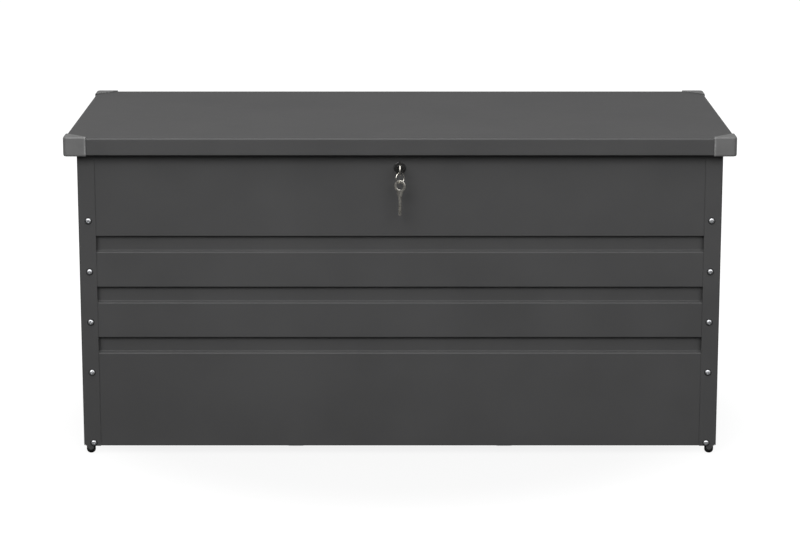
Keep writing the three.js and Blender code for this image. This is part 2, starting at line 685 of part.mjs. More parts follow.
// The split ring hangs through the bow's hole.
const ringTop = LOCK_Z - BOW_HOLE + WIRE_RADIUS + RING_PLAY;
const ringPlace = new THREE.Vector3(0, bowY, ringTop - RING_RADIUS);
const ring = new THREE.TorusGeometry(RING_RADIUS, WIRE_RADIUS, 6, 28)
  .rotateX(Math.PI / 2).rotateZ(THREE.MathUtils.degToRad(RING_TWIST));
add("key_ring", nickel, ring, ringPlace);

// The spare key hangs from the ring by its bow, blade down.
function spareKey() {
  const down = new THREE.Vector3(0, 0, -1);
  const twist = THREE.MathUtils.degToRad(SPARE_TWIST);
  const across = new THREE.Vector3(Math.cos(twist), Math.sin(twist), 0);
  const through = new THREE.Vector3().crossVectors(down, across);
  const flat = { depth: KEY_THICKNESS, bevelEnabled: false, curveSegments: 12 };
  return new THREE.ExtrudeGeometry(keyShape(), flat)
    .translate(-BOW_RADIUS, 0, -KEY_THICKNESS / 2)
    .applyMatrix4(new THREE.Matrix4().makeBasis(down, across, through));
}
const spareHole = ringTop - 2 * RING_RADIUS + WIRE_RADIUS + RING_PLAY - BOW_HOLE;
add("spare_key", nickel, spareKey(), new THREE.Vector3(0, bowY, spareHole));

export default group;
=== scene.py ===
"""A deck storage box of powder-coated sheet steel: finished surfaces, finishes and stage.

Every length is in metres and every place comes from the loaded frame: +X is the width, the front
faces -Y and the ground is at 0. Surfaces are grids of points worked out as whole arrays.
"""

import json
import math

import bmesh
import bpy
import numpy as np
from bpy.props import FloatProperty, FloatVectorProperty, IntProperty, PointerProperty
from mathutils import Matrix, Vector

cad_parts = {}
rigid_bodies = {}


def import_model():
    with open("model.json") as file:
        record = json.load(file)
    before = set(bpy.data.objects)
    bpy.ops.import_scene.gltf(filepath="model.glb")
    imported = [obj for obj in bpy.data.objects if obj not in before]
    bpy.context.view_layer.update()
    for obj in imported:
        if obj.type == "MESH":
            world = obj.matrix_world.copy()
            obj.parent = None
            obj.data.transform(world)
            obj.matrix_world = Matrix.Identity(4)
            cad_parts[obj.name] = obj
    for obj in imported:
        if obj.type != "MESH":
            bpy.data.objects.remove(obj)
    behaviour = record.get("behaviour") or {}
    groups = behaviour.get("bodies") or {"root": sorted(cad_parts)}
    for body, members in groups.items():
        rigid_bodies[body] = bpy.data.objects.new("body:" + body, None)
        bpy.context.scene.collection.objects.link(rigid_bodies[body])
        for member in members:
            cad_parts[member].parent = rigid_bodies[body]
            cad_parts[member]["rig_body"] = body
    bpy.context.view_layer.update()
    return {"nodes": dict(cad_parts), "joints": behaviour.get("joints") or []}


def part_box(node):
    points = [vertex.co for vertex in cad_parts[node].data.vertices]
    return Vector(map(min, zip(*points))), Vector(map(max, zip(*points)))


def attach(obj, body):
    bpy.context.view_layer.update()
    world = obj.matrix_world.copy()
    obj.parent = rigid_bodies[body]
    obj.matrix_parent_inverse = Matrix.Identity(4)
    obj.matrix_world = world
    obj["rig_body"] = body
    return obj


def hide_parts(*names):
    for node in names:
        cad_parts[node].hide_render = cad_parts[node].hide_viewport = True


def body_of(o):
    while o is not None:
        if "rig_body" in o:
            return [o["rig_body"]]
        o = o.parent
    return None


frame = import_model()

bl_info = {
    "name": "Deck storage box",
    "version": (1, 0, 0),
    "blender": (4, 5, 0),
    "location": "3D View > Sidebar > Deck box",
    "description": "Builds the finished pieces of a sheet steel deck storage box round its frame",
    "category": "Object",
}

MM = 0.001
X, Y, Z = np.eye(3)
LEFT_RIGHT = (("left", -1), ("right", 1))
FRONT_REAR = (("front", -1), ("rear", 1))
LEFT_CENTRE_RIGHT = ("left", "centre", "right")
# wall, its top rail, the axis of its length and the direction it faces
WALLS = (
    ("front_panel", "top_rail_front", X, -Y),
    ("rear_panel", "top_rail_rear", X, Y),
    ("side_panel_left", "top_rail_left", Y, -X),
    ("side_panel_right", "top_rail_right", Y, X),
)
# corner, and its side along X and along Y
CORNERS = [
    (f"{end}_{side}", side_x, side_y) for end, side_y in FRONT_REAR for side, side_x in LEFT_RIGHT
]
# name, place, point it looks at, width, height and watts
LIGHTS = (
    ("top_light", (-0.3, -1.0, 3.8), (0, 0, 0.6), 3.6, 2.4, 84.0),
    ("rear_left_light", (-3.6, 3.6, 1.5), (0, 0, 0.4), 2.2, 1.8, 60.0),
    ("rear_right_light", (3.8, 3.4, 1.3), (0, 0, 0.4), 2.2, 1.8, 70.0),
    ("front_left_light", (-2.2, -3.9, 3.2), (0, 0, 0.3), 3.0, 2.6, 190.0),
    ("front_right_light", (2.4, -4.1, 3.0), (0, 0, 0.3), 3.0, 2.6, 138.0),
)
WHITE = (1.0, 1.0, 1.0, 1.0)


# ---------------------------------------------------------------- sizes and colours


def length(name, description, default):
    """A property in metres."""
    return FloatProperty(name=name, description=description, default=default, unit="LENGTH", precision=5)


def level(name, description, default):
    """A plain number that isn't negative."""
    return FloatProperty(name=name, description=description, default=default, min=0.0)


def colour(name, description, grey, tint=(0.0, 0.0, 0.0)):
    """A colour property: a grey and what each channel differs from it."""
    default = tuple(grey + part for part in tint)
    return FloatVectorProperty(
        name=name, description=description, default=default, subtype="COLOR", min=0.0, max=1.0
    )


class SheetSizes(bpy.types.PropertyGroup):
    wall_sheet: length("Wall sheet", "Thickness of the walls, the floor and the lid", 0.8 * MM)
    post_sheet: length("Post sheet", "Thickness of posts, ribs and brackets", 1.2 * MM)
    bend: length("Bend radius", "Outer radius of a folded edge", 1.9 * MM)
    inner_bend: length("Inner bend radius", "Radius on the hollow side of a folded edge", 1.0 * MM)
    post_bend: length("Post corner", "Outer radius of the corner posts", 3.2 * MM)
    post_leg: length("Post leg", "Width of a corner post's leg", 34 * MM)
    foot_tab: length("Foot tab", "Middle of the post's foot tab from the corner", 13 * MM)
    tab_half: length("Foot tab half width", "Half of the foot tab's width", 6.4 * MM)
    tab_drop: length("Foot tab drop", "How far the tab reaches below the wall", 8 * MM)
    corner_cut: length("Corner cut", "Height and width of the slanted cut over the foot", 4.5 * MM)
    buckle: length("Buckle", "Height of the slow waves in a sheet's flat stretches", 0.25 * MM)


class GrooveSizes(bpy.types.PropertyGroup):
    depth: length("Depth", "Depth of the pressed grooves", 8 * MM)
    height: length("Height", "Height of a groove", 32 * MM)
    ledge: length("Ledge", "Rise of the sloped ledge at a groove's foot", 3 * MM)
    pitch: length("Pitch", "From one groove to the next", 103 * MM)
    bottom: length("Lowest groove", "Height of the lowest groove's foot", 208.5 * MM)
    count: IntProperty(name="Grooves", description="Grooves in each wall", default=3, min=1, max=8)


class LidSizes(bpy.types.PropertyGroup):
    bend: length("Top bend", "Outer radius of the fold from the top to the skirt", 4.2 * MM)
    corner: length("Corner radius", "Radius of the lid's corners seen from above", 6 * MM)
    hem: length("Hem", "Width of the inward fold under the skirt", 9 * MM)
    rear_hem: length("Rear hem", "Width of the inward fold along the hinges", 3.5 * MM)
    cap_wall: length("Cap wall", "Thickness of the corner caps", 1.7 * MM)
    cap_leg: length("Cap leg", "How far a corner cap reaches along the lid", 45 * MM)
    cap_bend: length("Cap edge", "Radius of a corner cap's top edge", 3.2 * MM)
    cap_setback: length("Cap web start", "Width of the cap's web at the ends of its legs", 5 * MM)


class FastenerSizes(bpy.types.PropertyGroup):
    head: length("Screw head", "Radius of a body screw's head", 5.2 * MM)
    head_height: length("Head height", "Height of a body screw's head", 3.0 * MM)
    # The dark ring under each screw head stands mostly for the shadow round it: painted shade.
    washer: length("Washer", "Radius of the dark washer under a head", 7.0 * MM)
    shade_washer_height: length("Washer height", "Thickness of the washer", 0.9 * MM)
    inset: length("Inset", "Screws from the post's corner", 20 * MM)
    foot_inset: length("Lowest inset", "Lowest screws from the post's corner", 20 * MM)
    foot_height: length("Lowest screw", "Height of the lowest screws", 23.2 * MM)
    lowest: length("Second screw", "Height of the second screw from the ground", 169.5 * MM)
    pitch: length("Pitch", "From one screw to the next", 103 * MM)


class FinishColours(bpy.types.PropertyGroup):
    coat: colour("Powder coat", "Sheet metal's powder coat", 0.041, (0.0, 0.0, 0.0005))
    # Lighter coat on the bends: partly rubbed edges, partly a painted highlight along each bend.
    coat_bend_highlight: colour("Worn coat", "Powder coat where edges are rubbed", 0.16)
    cap: colour("Cap plastic", "Moulded corner caps", 0.100)
    # On the dark rings under the screw heads this rubber stands mostly for painted shadow.
    rubber: colour("Rubber", "Feet, buffers and washers", 0.006)
    zinc: colour("Zinc plate", "Screws, hinges and brackets", 0.62, (-0.01, 0.0, 0.015))
    nickel: colour("Nickel plate", "Keys, split ring and strut rods", 0.60, (0.02, 0.0, -0.05))
    tube: colour("Black paint", "Strut tubes and the lock's face", 0.012)
    dust: colour("Dust", "Dry dust on faces that look up", 0.35, (0.02, 0.0, -0.03))
    cap_worn: colour("Worn cap", "Cap plastic where edges are rubbed", 0.30)
    rubber_worn: colour("Worn rubber", "Rubber where edges are rubbed", 0.05)
    zinc_worn: colour("Worn zinc", "Zinc plate where edges are rubbed", 0.30, (0.0, 0.0, 0.01))
    nickel_worn: colour("Worn nickel", "Brass that shows where nickel is rubbed", 0.38, (0.04, 0.0, -0.08))
    tube_worn: colour("Worn paint", "Black paint where edges are rubbed", 0.22)


class StageSizes(bpy.types.PropertyGroup):
    camera_back: length("Camera distance", "Camera in front of the box's middle", 5.454)
    camera_height: length("Camera height", "Camera above the ground", 1.513)
    camera_tilt: FloatProperty(
        name="Camera tilt", description="How far the camera looks down", default=math.radians(12.31),
        subtype="ANGLE",
    )
    focal: level("Focal length", "Camera's focal length in millimetres", 120.0)
    backdrop: level("Backdrop", "Brightness of the backdrop that the camera sees", 1.05)
    ambient: level("Ambient light", "Brightness of the even light from all round", 0.33)
    floor_grey: level("Floor grey", "Floor's own grey, which catches light and shadow", 0.06)
    # The floor's glow is dimmer near the box: a painted shadow round it.
    painted_shadow_glow: level("Glow near", "Floor's glow under the box, for the camera only", 0.865)
    glow_far: level("Glow far", "Floor's glow away from it, for the camera only", 1.05)
    glow_start: length("Glow start", "Where the floor's glow starts to rise", 0.5)
    glow_end: length("Glow end", "Where the floor's glow is full", 0.95)


SIZE_GROUPS = {
    "deckbox_sheet": SheetSizes,
    "deckbox_groove": GrooveSizes,
    "deckbox_lid": LidSizes,
    "deckbox_fastener": FastenerSizes,
    "deckbox_colour": FinishColours,
    "deckbox_stage": StageSizes,
}


# ---------------------------------------------------------------- paths


def turned_by(vector, angles):
    """A 2-D vector turned by each angle, as rows."""
    x, y = vector
    return np.stack([x * np.cos(angles) - y * np.sin(angles), x * np.sin(angles) + y * np.cos(angles)], 1)


def fillet(corners, radii, steps=6):
    """A path of straight stretches whose inner corners are arcs.

    An arc touches both stretches at radius / tan(half the inside angle) from the corner, and its
    middle lies on the corner's bisector at radius / sin(half the inside angle).
    """
    corners = np.asarray(corners, float)
    path = [corners[:1]]
    radii = np.broadcast_to(radii, len(corners) - 2)
    for before, corner, after, radius in zip(corners, corners[1:], corners[2:], radii):
        back = (before - corner) / np.linalg.norm(before - corner)
        ahead = (after - corner) / np.linalg.norm(after - corner)
        half = np.arccos(np.clip(back @ ahead, -1, 1)) / 2
        bisector = (back + ahead) / np.linalg.norm(back + ahead)
        middle = corner + bisector * radius / np.sin(half)
        start = corner + back * radius / np.tan(half) - middle
        side = np.sign(back[1] * ahead[0] - back[0] * ahead[1])
        path.append(middle + turned_by(start, side * np.linspace(0, math.pi - 2 * half, steps + 1)))
    path.append(corners[-1:])
    return np.concatenate(path)


def arc(centre, radius, start, end, steps=16):
    """Points round a circle between two angles in degrees."""
    angles = np.radians(np.linspace(start, end, steps + 1))
    return np.asarray(centre) + radius * np.stack([np.cos(angles), np.sin(angles)], 1)


def stations(lengths, step, support):
    """Places along a path so that none is further than step from the next.

    A long stretch also gets a place at the support distance from each of its ends, which keeps
    the shading of a bend from spreading over the flat next to it.
    """
    ends = np.concatenate([[0.0], np.cumsum(lengths)])
    places = []
    for start, end in zip(ends, ends[1:]):
        count = max(1, math.ceil((end - start) / step))
        if end - start > 4 * support:
            inner = np.linspace(start + support, end - support, max(2, count + 1))
            places.append(np.concatenate([[start], inner]))
        else:
            places.append(np.linspace(start, end, count, endpoint=False))
    return np.concatenate([*places, ends[-1:]]), ends


def densify(path, step=0.03, support=0.7 * MM):
    """The same path with more points, as stations() places them."""
    places, ends = stations(np.linalg.norm(np.diff(path, axis=0), axis=1), step, support)
    return np.stack([np.interp(places, ends, path[:, k]) for k in (0, 1)], 1)


def travelled(path):
    """Distance from a path's start to each of its points."""
    return np.concatenate([[0.0], np.cumsum(np.linalg.norm(np.diff(path, axis=0), axis=1))])


def offset(path, distance):
    """The path moved to the left of its travel.

    Each point moves along the middle of its two stretches' normals, far enough to keep the
    distance to both.
    """
    travel = np.diff(path, axis=0)
    travel /= np.linalg.norm(travel, axis=1, keepdims=True)
    left = np.stack([-travel[:, 1], travel[:, 0]], 1)
    before = np.concatenate([left[:1], left])
    after = np.concatenate([left, left[-1:]])
    mitre = before + after
    mitre /= np.linalg.norm(mitre, axis=1, keepdims=True)
    return path + mitre * distance / np.sum(mitre * before, axis=1, keepdims=True)


# ---------------------------------------------------------------- surfaces: (points, faces)


def quads(indices, wrap_rows=False, wrap_columns=False):
    """Four-cornered faces between neighbours in a grid of point numbers."""
    if wrap_rows:
        indices = np.concatenate([indices, indices[:1]])
    if wrap_columns:
        indices = np.concatenate([indices, indices[:, :1]], 1)
    corners = [indices[:-1, :-1], indices[:-1, 1:], indices[1:, 1:], indices[1:, :-1]]
    return np.stack(corners, -1).reshape(-1, 4)


def patch(points, wrap_rows=False, wrap_columns=False):
    """A surface from a grid of points."""
    indices = np.arange(points.shape[0] * points.shape[1]).reshape(points.shape[:2])
    return points.reshape(-1, 3), quads(indices, wrap_rows, wrap_columns)


def joined(*surfaces):
    """Several surfaces as one."""
    counts = np.cumsum([0] + [len(points) for points, _ in surfaces])
    faces = [face + start for (_, face), start in zip(surfaces, counts)]
    return np.concatenate([points for points, _ in surfaces]), np.concatenate(faces)


def shell(outer, inner, wrap=False):
    """A closed wall between two grids of points: both skins and the rim round their edges.

    With wrap the grids close on themselves from the last column to the first.
    """
    count = outer.shape[0] * outer.shape[1]
    front = np.arange(count).reshape(outer.shape[:2])
    if wrap:
        edges = [front[0], front[-1]]
    else:
        edges = [np.concatenate([front[0, :-1], front[:-1, -1], front[-1, :0:-1], front[:0:-1, 0]])]
    rims = [quads(np.stack([edge, edge + count]), wrap_columns=True) for edge in edges]
    faces = np.concatenate([quads(front, wrap_columns=wrap), quads(front + count, wrap_columns=wrap), *rims])
    return np.concatenate([outer.reshape(-1, 3), inner.reshape(-1, 3)]), faces


def placed(surface, origin, *axes):
    """A surface drawn along three axes, moved to where those axes start."""
    points, faces = surface
    return np.asarray(origin) + points @ np.array(axes), faces


def repeated(surface, origins, *axes):
    """Copies of a surface at several places."""
    return joined(*(placed(surface, origin, *axes) for origin in origins))


def strip(path, low, high, thickness, step=0.03, support=0.7 * MM):
    """A folded sheet: a path carried sideways from low to high, drawn as (u, v, w).

    The path is the sheet's outer face and the thickness goes to the left of its travel. Low and
    high are the sheet's side edges, one pair for all or one for each point of the path.
    """
    low = np.broadcast_to(low, len(path))[:, None]
    high = np.broadcast_to(high, len(path))[:, None]
    places, ends = stations([float(np.max(high - low))], step, support)
    share = (places / ends[-1])[None, :]
    across = low + (high - low) * share

    def skin(points):
        spread = np.broadcast_to(points[:, None, :], (*across.shape, 2))
        return np.concatenate([spread, across[..., None]], -1)

    return skin(path), skin(offset(path, thickness))


def rounded_ends(path, half, radius):
    """Half widths of a strip whose four corners are quarter circles."""
    along = travelled(path)
    from_end = np.minimum(along, along[-1] - along)
    lost = np.clip(radius - from_end, 0, radius)
    return half - radius + np.sqrt(np.maximum(radius**2 - lost**2, 0))


def end_points(path, radius, steps=6):
    """The path with extra points near its ends, spaced for rounded_ends()."""
    along = travelled(path)
    near = radius * (1 - np.cos(np.linspace(0, math.pi / 2, steps + 1)))
    places = np.unique(np.round(np.concatenate([near, along[-1] - near, along]), 7))
    return np.stack([np.interp(places, along, path[:, k]) for k in (0, 1)], 1)


def plate(path, half, thickness, radius):
    """A folded sheet with round corners, as a closed surface in (u, v, w)."""
    fine = end_points(path, radius)
    width = rounded_ends(fine, half, radius)
    return shell(*strip(fine, -width, width, thickness))


def turned(profile, segments, origin, axis, start, closed):
    """A profile of (radius, height) carried round an axis; a closed one joins its own ends."""
    angles = np.linspace(0, 2 * math.pi, segments, endpoint=False)
    radius, height = np.hsplit(np.asarray(profile, float), 2)
    points = np.stack([radius * np.cos(angles), radius * np.sin(angles), height + 0 * angles], -1)
    surface = patch(points, wrap_rows=closed, wrap_columns=True)
    return placed(surface, origin, start, np.cross(axis, start), axis)


def lathe(profile, segments=40, origin=(0, 0, 0), axis=Z, start=X):
    """A turned profile that starts and ends on the axis."""
    return turned(profile, segments, origin, axis, start, False)


def ring_solid(corners, radii, segments, origin=(0, 0, 0), axis=Z, start=X):
    """A turned profile with rounded corners that stays off the axis and joins its own ends."""
    first = (np.array(corners[0]) + corners[1]) / 2
    profile = fillet([first, *corners[1:], corners[0], first], radii, 4)[:-1]
    return turned(profile, segments, origin, axis, start, True)


def soft_cylinder(radius, low, high, edge, steps=4):
    """A lathe profile of a cylinder with rounded edges."""
    corners = [(0, low), (radius, low), (radius, high), (0, high)]
    return fillet(corners, edge, steps)


def hexagon(radius, low, high, segments=48):
    """A hexagonal nut: the smaller of the hexagon's reach and a chamfered circle at each height."""
    angles = np.linspace(0, 2 * math.pi, segments, endpoint=False)
    side = math.pi / 3
    apothem = radius * math.cos(side / 2)
    reach = apothem / np.cos((angles + side / 2) % side - side / 2)
    chamfer = radius - apothem
    heights = np.array([low, low, low + chamfer / 2, high - chamfer / 2, high, high])
    limits = np.array([0, apothem, radius, radius, apothem, 0])
    spread = np.minimum(reach[None, :], limits[:, None])
    points = np.stack(
        [spread * np.cos(angles), spread * np.sin(angles), heights[:, None] + 0 * spread], -1
    )
    return patch(points, wrap_columns=True)


def disc_grid(breaks):
    """A square grid pressed into a disc of radius 1: x = u sqrt(1 - v²/2), y = v sqrt(1 - u²/2)."""
    u, v = np.meshgrid(breaks, breaks, indexing="ij")
    return u, v, u * np.sqrt(1 - v**2 / 2), v * np.sqrt(1 - u**2 / 2)


def cross_head(radius, height):
    """A pan head with a cross recess, standing on 0.

    The top falls with the sixth power of the distance from the middle, and the recess is cut
    where either coordinate is inside an arm.
    """
    arm, arm_edge, reach, reach_edge = 0.10, 0.16, 0.50, 0.60
    side = np.array([arm, arm_edge, 0.33, reach, reach_edge, 0.76, 0.9, 1.0])
    u, v, x, y = disc_grid(np.concatenate([-side[::-1], side]))
    across, along = np.minimum(abs(u), abs(v)), np.maximum(abs(u), abs(v))
    recess = (across <= arm) & (along <= reach)
    distance = np.hypot(x, y)
    top = height * (1 - 0.12 * distance**2 - 0.4 * distance**6) - recess * height * 0.55
    outer = np.stack([x * radius, y * radius, top], -1)
    inner = np.stack([x * radius, y * radius, 0 * top], -1)
    return shell(outer, inner)


def rivet_head(radius, height, segments=20):
    """A domed rivet head standing on 0: height falls as the root of 1 - r²."""
    r = np.sin(np.linspace(0, math.pi / 2, 7))[::-1]
    dome = np.stack([r * radius, height * np.sqrt(1 - r**2)], 1)
    return lathe([(0, 0), *dome[:-1], (0, height)], segments)


def round_section(middle, side, up, radius, segments):
    """A circle of points round each point of a path, across the path's travel."""
    angles = np.linspace(0, 2 * math.pi, segments, endpoint=False)
    ring = side[:, None, :] * np.cos(angles)[None, :, None] + up[:, None, :] * np.sin(angles)[None, :, None]
    return middle[:, None, :] + ring * radius[:, None, None]


# ---------------------------------------------------------------- making a piece


def store_edges(mesh):
    """Writes how far each point is from flat: one less the length of its faces' mean normal."""
    loops = np.zeros(len(mesh.loops), int)
    mesh.loops.foreach_get("vertex_index", loops)
    sizes = np.zeros(len(mesh.polygons), int)
    mesh.polygons.foreach_get("loop_total", sizes)
    normals = np.zeros(len(mesh.polygons) * 3)
    mesh.polygons.foreach_get("normal", normals)
    spread = np.repeat(normals.reshape(-1, 3), sizes, axis=0)
    total = np.zeros((len(mesh.vertices), 3))
    np.add.at(total, loops, spread)
    count = np.bincount(loops, minlength=len(mesh.vertices))
    flat = np.linalg.norm(total, axis=1) / np.maximum(count, 1)
    attribute = mesh.attributes.new("edge", "FLOAT", "POINT")
    attribute.data.foreach_set("value", np.clip((1 - flat) * 4, 0, 1))


def make_piece(name, surface, body, slot, replaced=(), sharp=32, bevel=0.0):
    """Puts a closed surface into a mesh and rides it on its body.

    Without a body it rides on the body of the first frame node that it replaces. Points that meet
    at a seam or pole are merged and all faces are turned outwards. A surface that isn't closed is
    an error.
    """
    points, faces = surface
    mesh = bpy.data.meshes.new(name)
    mesh.from_pydata(points.tolist(), [], faces.tolist())
    work = bmesh.new()
    work.from_mesh(mesh)
    bmesh.ops.remove_doubles(work, verts=work.verts, dist=2e-6)
    bmesh.ops.dissolve_degenerate(work, edges=work.edges, dist=1e-7)
    bmesh.ops.recalc_face_normals(work, faces=work.faces)
    open_edges = sum(not edge.is_manifold for edge in work.edges)
    work.to_mesh(mesh)
    work.free()
    if open_edges:
        raise ValueError(f"{name} has {open_edges} edges that don't join two faces")
    mesh.shade_smooth()
    mesh.set_sharp_from_angle(angle=math.radians(sharp))
    store_edges(mesh)
    piece = bpy.data.objects.new(name, mesh)
    bpy.context.scene.collection.objects.link(piece)
    mesh.materials.append(finish(slot))
    if bevel:
        modifier = piece.modifiers.new("soft_edges", "BEVEL")
        modifier.width = bevel
        modifier.segments = 2
        modifier.limit_method = "ANGLE"
        modifier.angle_limit = math.radians(50)
    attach(piece, body or body_of(frame["nodes"][replaced[0]])[0])
    if replaced:
        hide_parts(*replaced)
    return piece


def sizes():
    """The scene's size and colour groups by their short names."""
    scene = bpy.context.scene
    return {name.removeprefix("deckbox_"): getattr(scene, name) for name in SIZE_GROUPS}


def joint(name):
    """A joint's place and axis, as arrays."""
    row = next(row for row in frame["joints"] if row["name"] == name)
    return np.array(row.get("pos_m", (0, 0, 0))), np.array(row["axis"], float)


def limits(node):
    """A frame node's lowest and highest corners, as arrays."""
    low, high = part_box(node)
    return np.array(low), np.array(high)


def extent(node, direction):
    """Where a frame node starts and ends along a direction."""
    reaches = [corner @ direction for corner in limits(node)]
    return min(reaches), max(reaches)


# ---------------------------------------------------------------- shading groups and finishes


class NodeGraph:
    """Short ways to add and link nodes in a material's or a group's tree."""

    def __init__(self, tree):
        self.tree = tree

    def node(self, kind, **settings):
        """Adds a node and sets its properties."""
        made = self.tree.nodes.new(kind)
        for key, value in settings.items():
            setattr(made, key, value)
        return made

    def put(self, socket, value):
        """Links an output to the socket, or sets its own value."""
        if isinstance(value, bpy.types.NodeSocket):
            self.tree.links.new(value, socket)
        else:
            socket.default_value = value

    def math(self, operation, first, second=0.0, clamp=False):
        """The result of one sum on two values or outputs."""
        made = self.node("ShaderNodeMath", operation=operation, use_clamp=clamp)
        self.put(made.inputs[0], first)
        self.put(made.inputs[1], second)
        return made.outputs[0]

    def noise(self, vector, scale, detail=2.0, roughness=0.5):
        """Noise from 0 to 1 over the vector."""
        made = self.node("ShaderNodeTexNoise")
        self.put(made.inputs["Vector"], vector)
        self.put(made.inputs["Scale"], scale)
        made.inputs["Detail"].default_value = detail
        made.inputs["Roughness"].default_value = roughness
        return made.outputs["Fac"]

    def ramp(self, value, low, high, to_low=0.0, to_high=1.0):
        """A value eased from one range to another, and held past its ends."""
        made = self.node("ShaderNodeMapRange", interpolation_type="SMOOTHSTEP")
        for key, item in (("Value", value), ("From Min", low), ("From Max", high)):
            self.put(made.inputs[key], item)
        self.put(made.inputs["To Min"], to_low)
        self.put(made.inputs["To Max"], to_high)
        return made.outputs["Result"]

    def mix(self, factor, first, second):
        """The first colour at factor 0 and the second at 1."""
        made = self.node("ShaderNodeMix", data_type="RGBA")
        self.put(made.inputs["Factor"], factor)
        self.put(made.inputs["A"], first)
        self.put(made.inputs["B"], second)
        return made.outputs["Result"]

    def group(self, tree, **values):
        """Places a shading group with its own values and returns its outputs."""
        made = self.node("ShaderNodeGroup", node_tree=tree)
        for key, value in values.items():
            self.put(made.inputs[key.replace("_", " ")], value)
        return made.outputs


def shading_group(name, inputs, outputs):
    """An empty node group with its sockets: (tree, graph, input node's outputs, output node's inputs)."""
    tree = bpy.data.node_groups.new(name, "ShaderNodeTree")
    kinds = {"Vector": "NodeSocketVector", "Normal": "NodeSocketVector"}
    for label in inputs:
        kind = kinds.get(label, "NodeSocketFloat")
        tree.interface.new_socket(name=label, in_out="INPUT", socket_type=kind)
    for label in outputs:
        tree.interface.new_socket(name=label, in_out="OUTPUT", socket_type="NodeSocketFloat")
    graph = NodeGraph(tree)
    return tree, graph, graph.node("NodeGroupInput").outputs, graph.node("NodeGroupOutput").inputs


def grain_group():
    """Grain of a sprayed, moulded or plated skin: Tone is slow cloudiness, Height fine relief."""
    tree, graph, given, made = shading_group("grain", ("Vector", "Scale", "Cloud Scale"), ("Tone", "Height"))
    fine = graph.noise(given["Vector"], given["Scale"], 3.0, 0.55)
    coarse_scale = graph.math("MULTIPLY", given["Scale"], 0.31)
    coarse = graph.noise(given["Vector"], coarse_scale, 1.0)
    cloud = graph.noise(given["Vector"], given["Cloud Scale"], 4.0, 0.6)
    specks = graph.math("MULTIPLY", graph.math("SUBTRACT", fine, 0.5), 0.35)
    graph.put(made["Tone"], graph.math("ADD", cloud, specks, clamp=True))
    graph.put(made["Height"], graph.math("ADD", graph.math("MULTIPLY", coarse, 0.6), fine))
    return tree


def wear_and_highlight_group():
    """Rubbed edges, and on the powder coat a painted highlight along its bends: the stored edge value,
    broken up by noise.
    """
    tree, graph, given, made = shading_group("edge_wear", ("Vector", "Edge", "Amount"), ("Mask",))
    patches = graph.noise(given["Vector"], 38.0, 5.0, 0.65)
    chips = graph.noise(given["Vector"], 420.0, 3.0, 0.6)
    broken = graph.math("MULTIPLY", graph.ramp(patches, 0.38, 0.68), graph.ramp(chips, 0.3, 0.62))
    edge = graph.ramp(given["Edge"], 0.03, 0.6)
    graph.put(made["Mask"], graph.math("MULTIPLY", graph.math("MULTIPLY", edge, broken), given["Amount"]))
    return tree


def dust_group():
    """Dry dust: more where the face looks up, in soft clouds."""
    tree, graph, given, made = shading_group("dust", ("Vector", "Normal", "Amount"), ("Mask",))
    split = graph.node("ShaderNodeSeparateXYZ")
    graph.put(split.inputs[0], given["Normal"])
    upward = graph.ramp(split.outputs["Z"], 0.15, 1.0)
    cloud = graph.ramp(graph.noise(given["Vector"], 7.0, 6.0, 0.62), 0.3, 0.75)
    specks = graph.ramp(graph.noise(given["Vector"], 900.0, 2.0), 0.45, 0.75, 0.5, 1.0)
    settled = graph.math("MULTIPLY", graph.math("MULTIPLY", upward, cloud), specks)
    graph.put(made["Mask"], graph.math("MULTIPLY", settled, given["Amount"]))
    return tree


def scratch_group():
    """Handling marks: thin stretched noise in two directions. Mask marks them, Height is their relief."""
    tree, graph, given, made = shading_group("scratches", ("Vector", "Scale"), ("Mask", "Height"))
    marks = []
    for stretch, turn in (((1.0, 14.0, 14.0), 0.5), ((16.0, 1.0, 12.0), -0.4)):
        mapping = graph.node("ShaderNodeMapping")
        graph.put(mapping.inputs["Vector"], given["Vector"])
        mapping.inputs["Rotation"].default_value = (turn, turn, turn)
        mapping.inputs["Scale"].default_value = stretch
        marks.append(graph.ramp(graph.noise(mapping.outputs[0], given["Scale"], 3.0, 0.6), 0.56, 0.72))
    both = graph.math("MAXIMUM", *marks)
    graph.put(made["Mask"], both)
    graph.put(made["Height"], graph.math("SUBTRACT", 1.0, both))
    return tree


SHARED = {}


def shared(name):
    """A shading group, built the first time it is asked for."""
    builders = {"grain": grain_group, "wear": wear_and_highlight_group, "dust": dust_group, "scratch": scratch_group}
    if name not in SHARED:
        SHARED[name] = builders[name]()
    return SHARED[name]


def shaded(colour, factor):
    """A colour made lighter or darker, with alpha."""
    return (*(min(1.0, part * factor) for part in colour), 1.0)


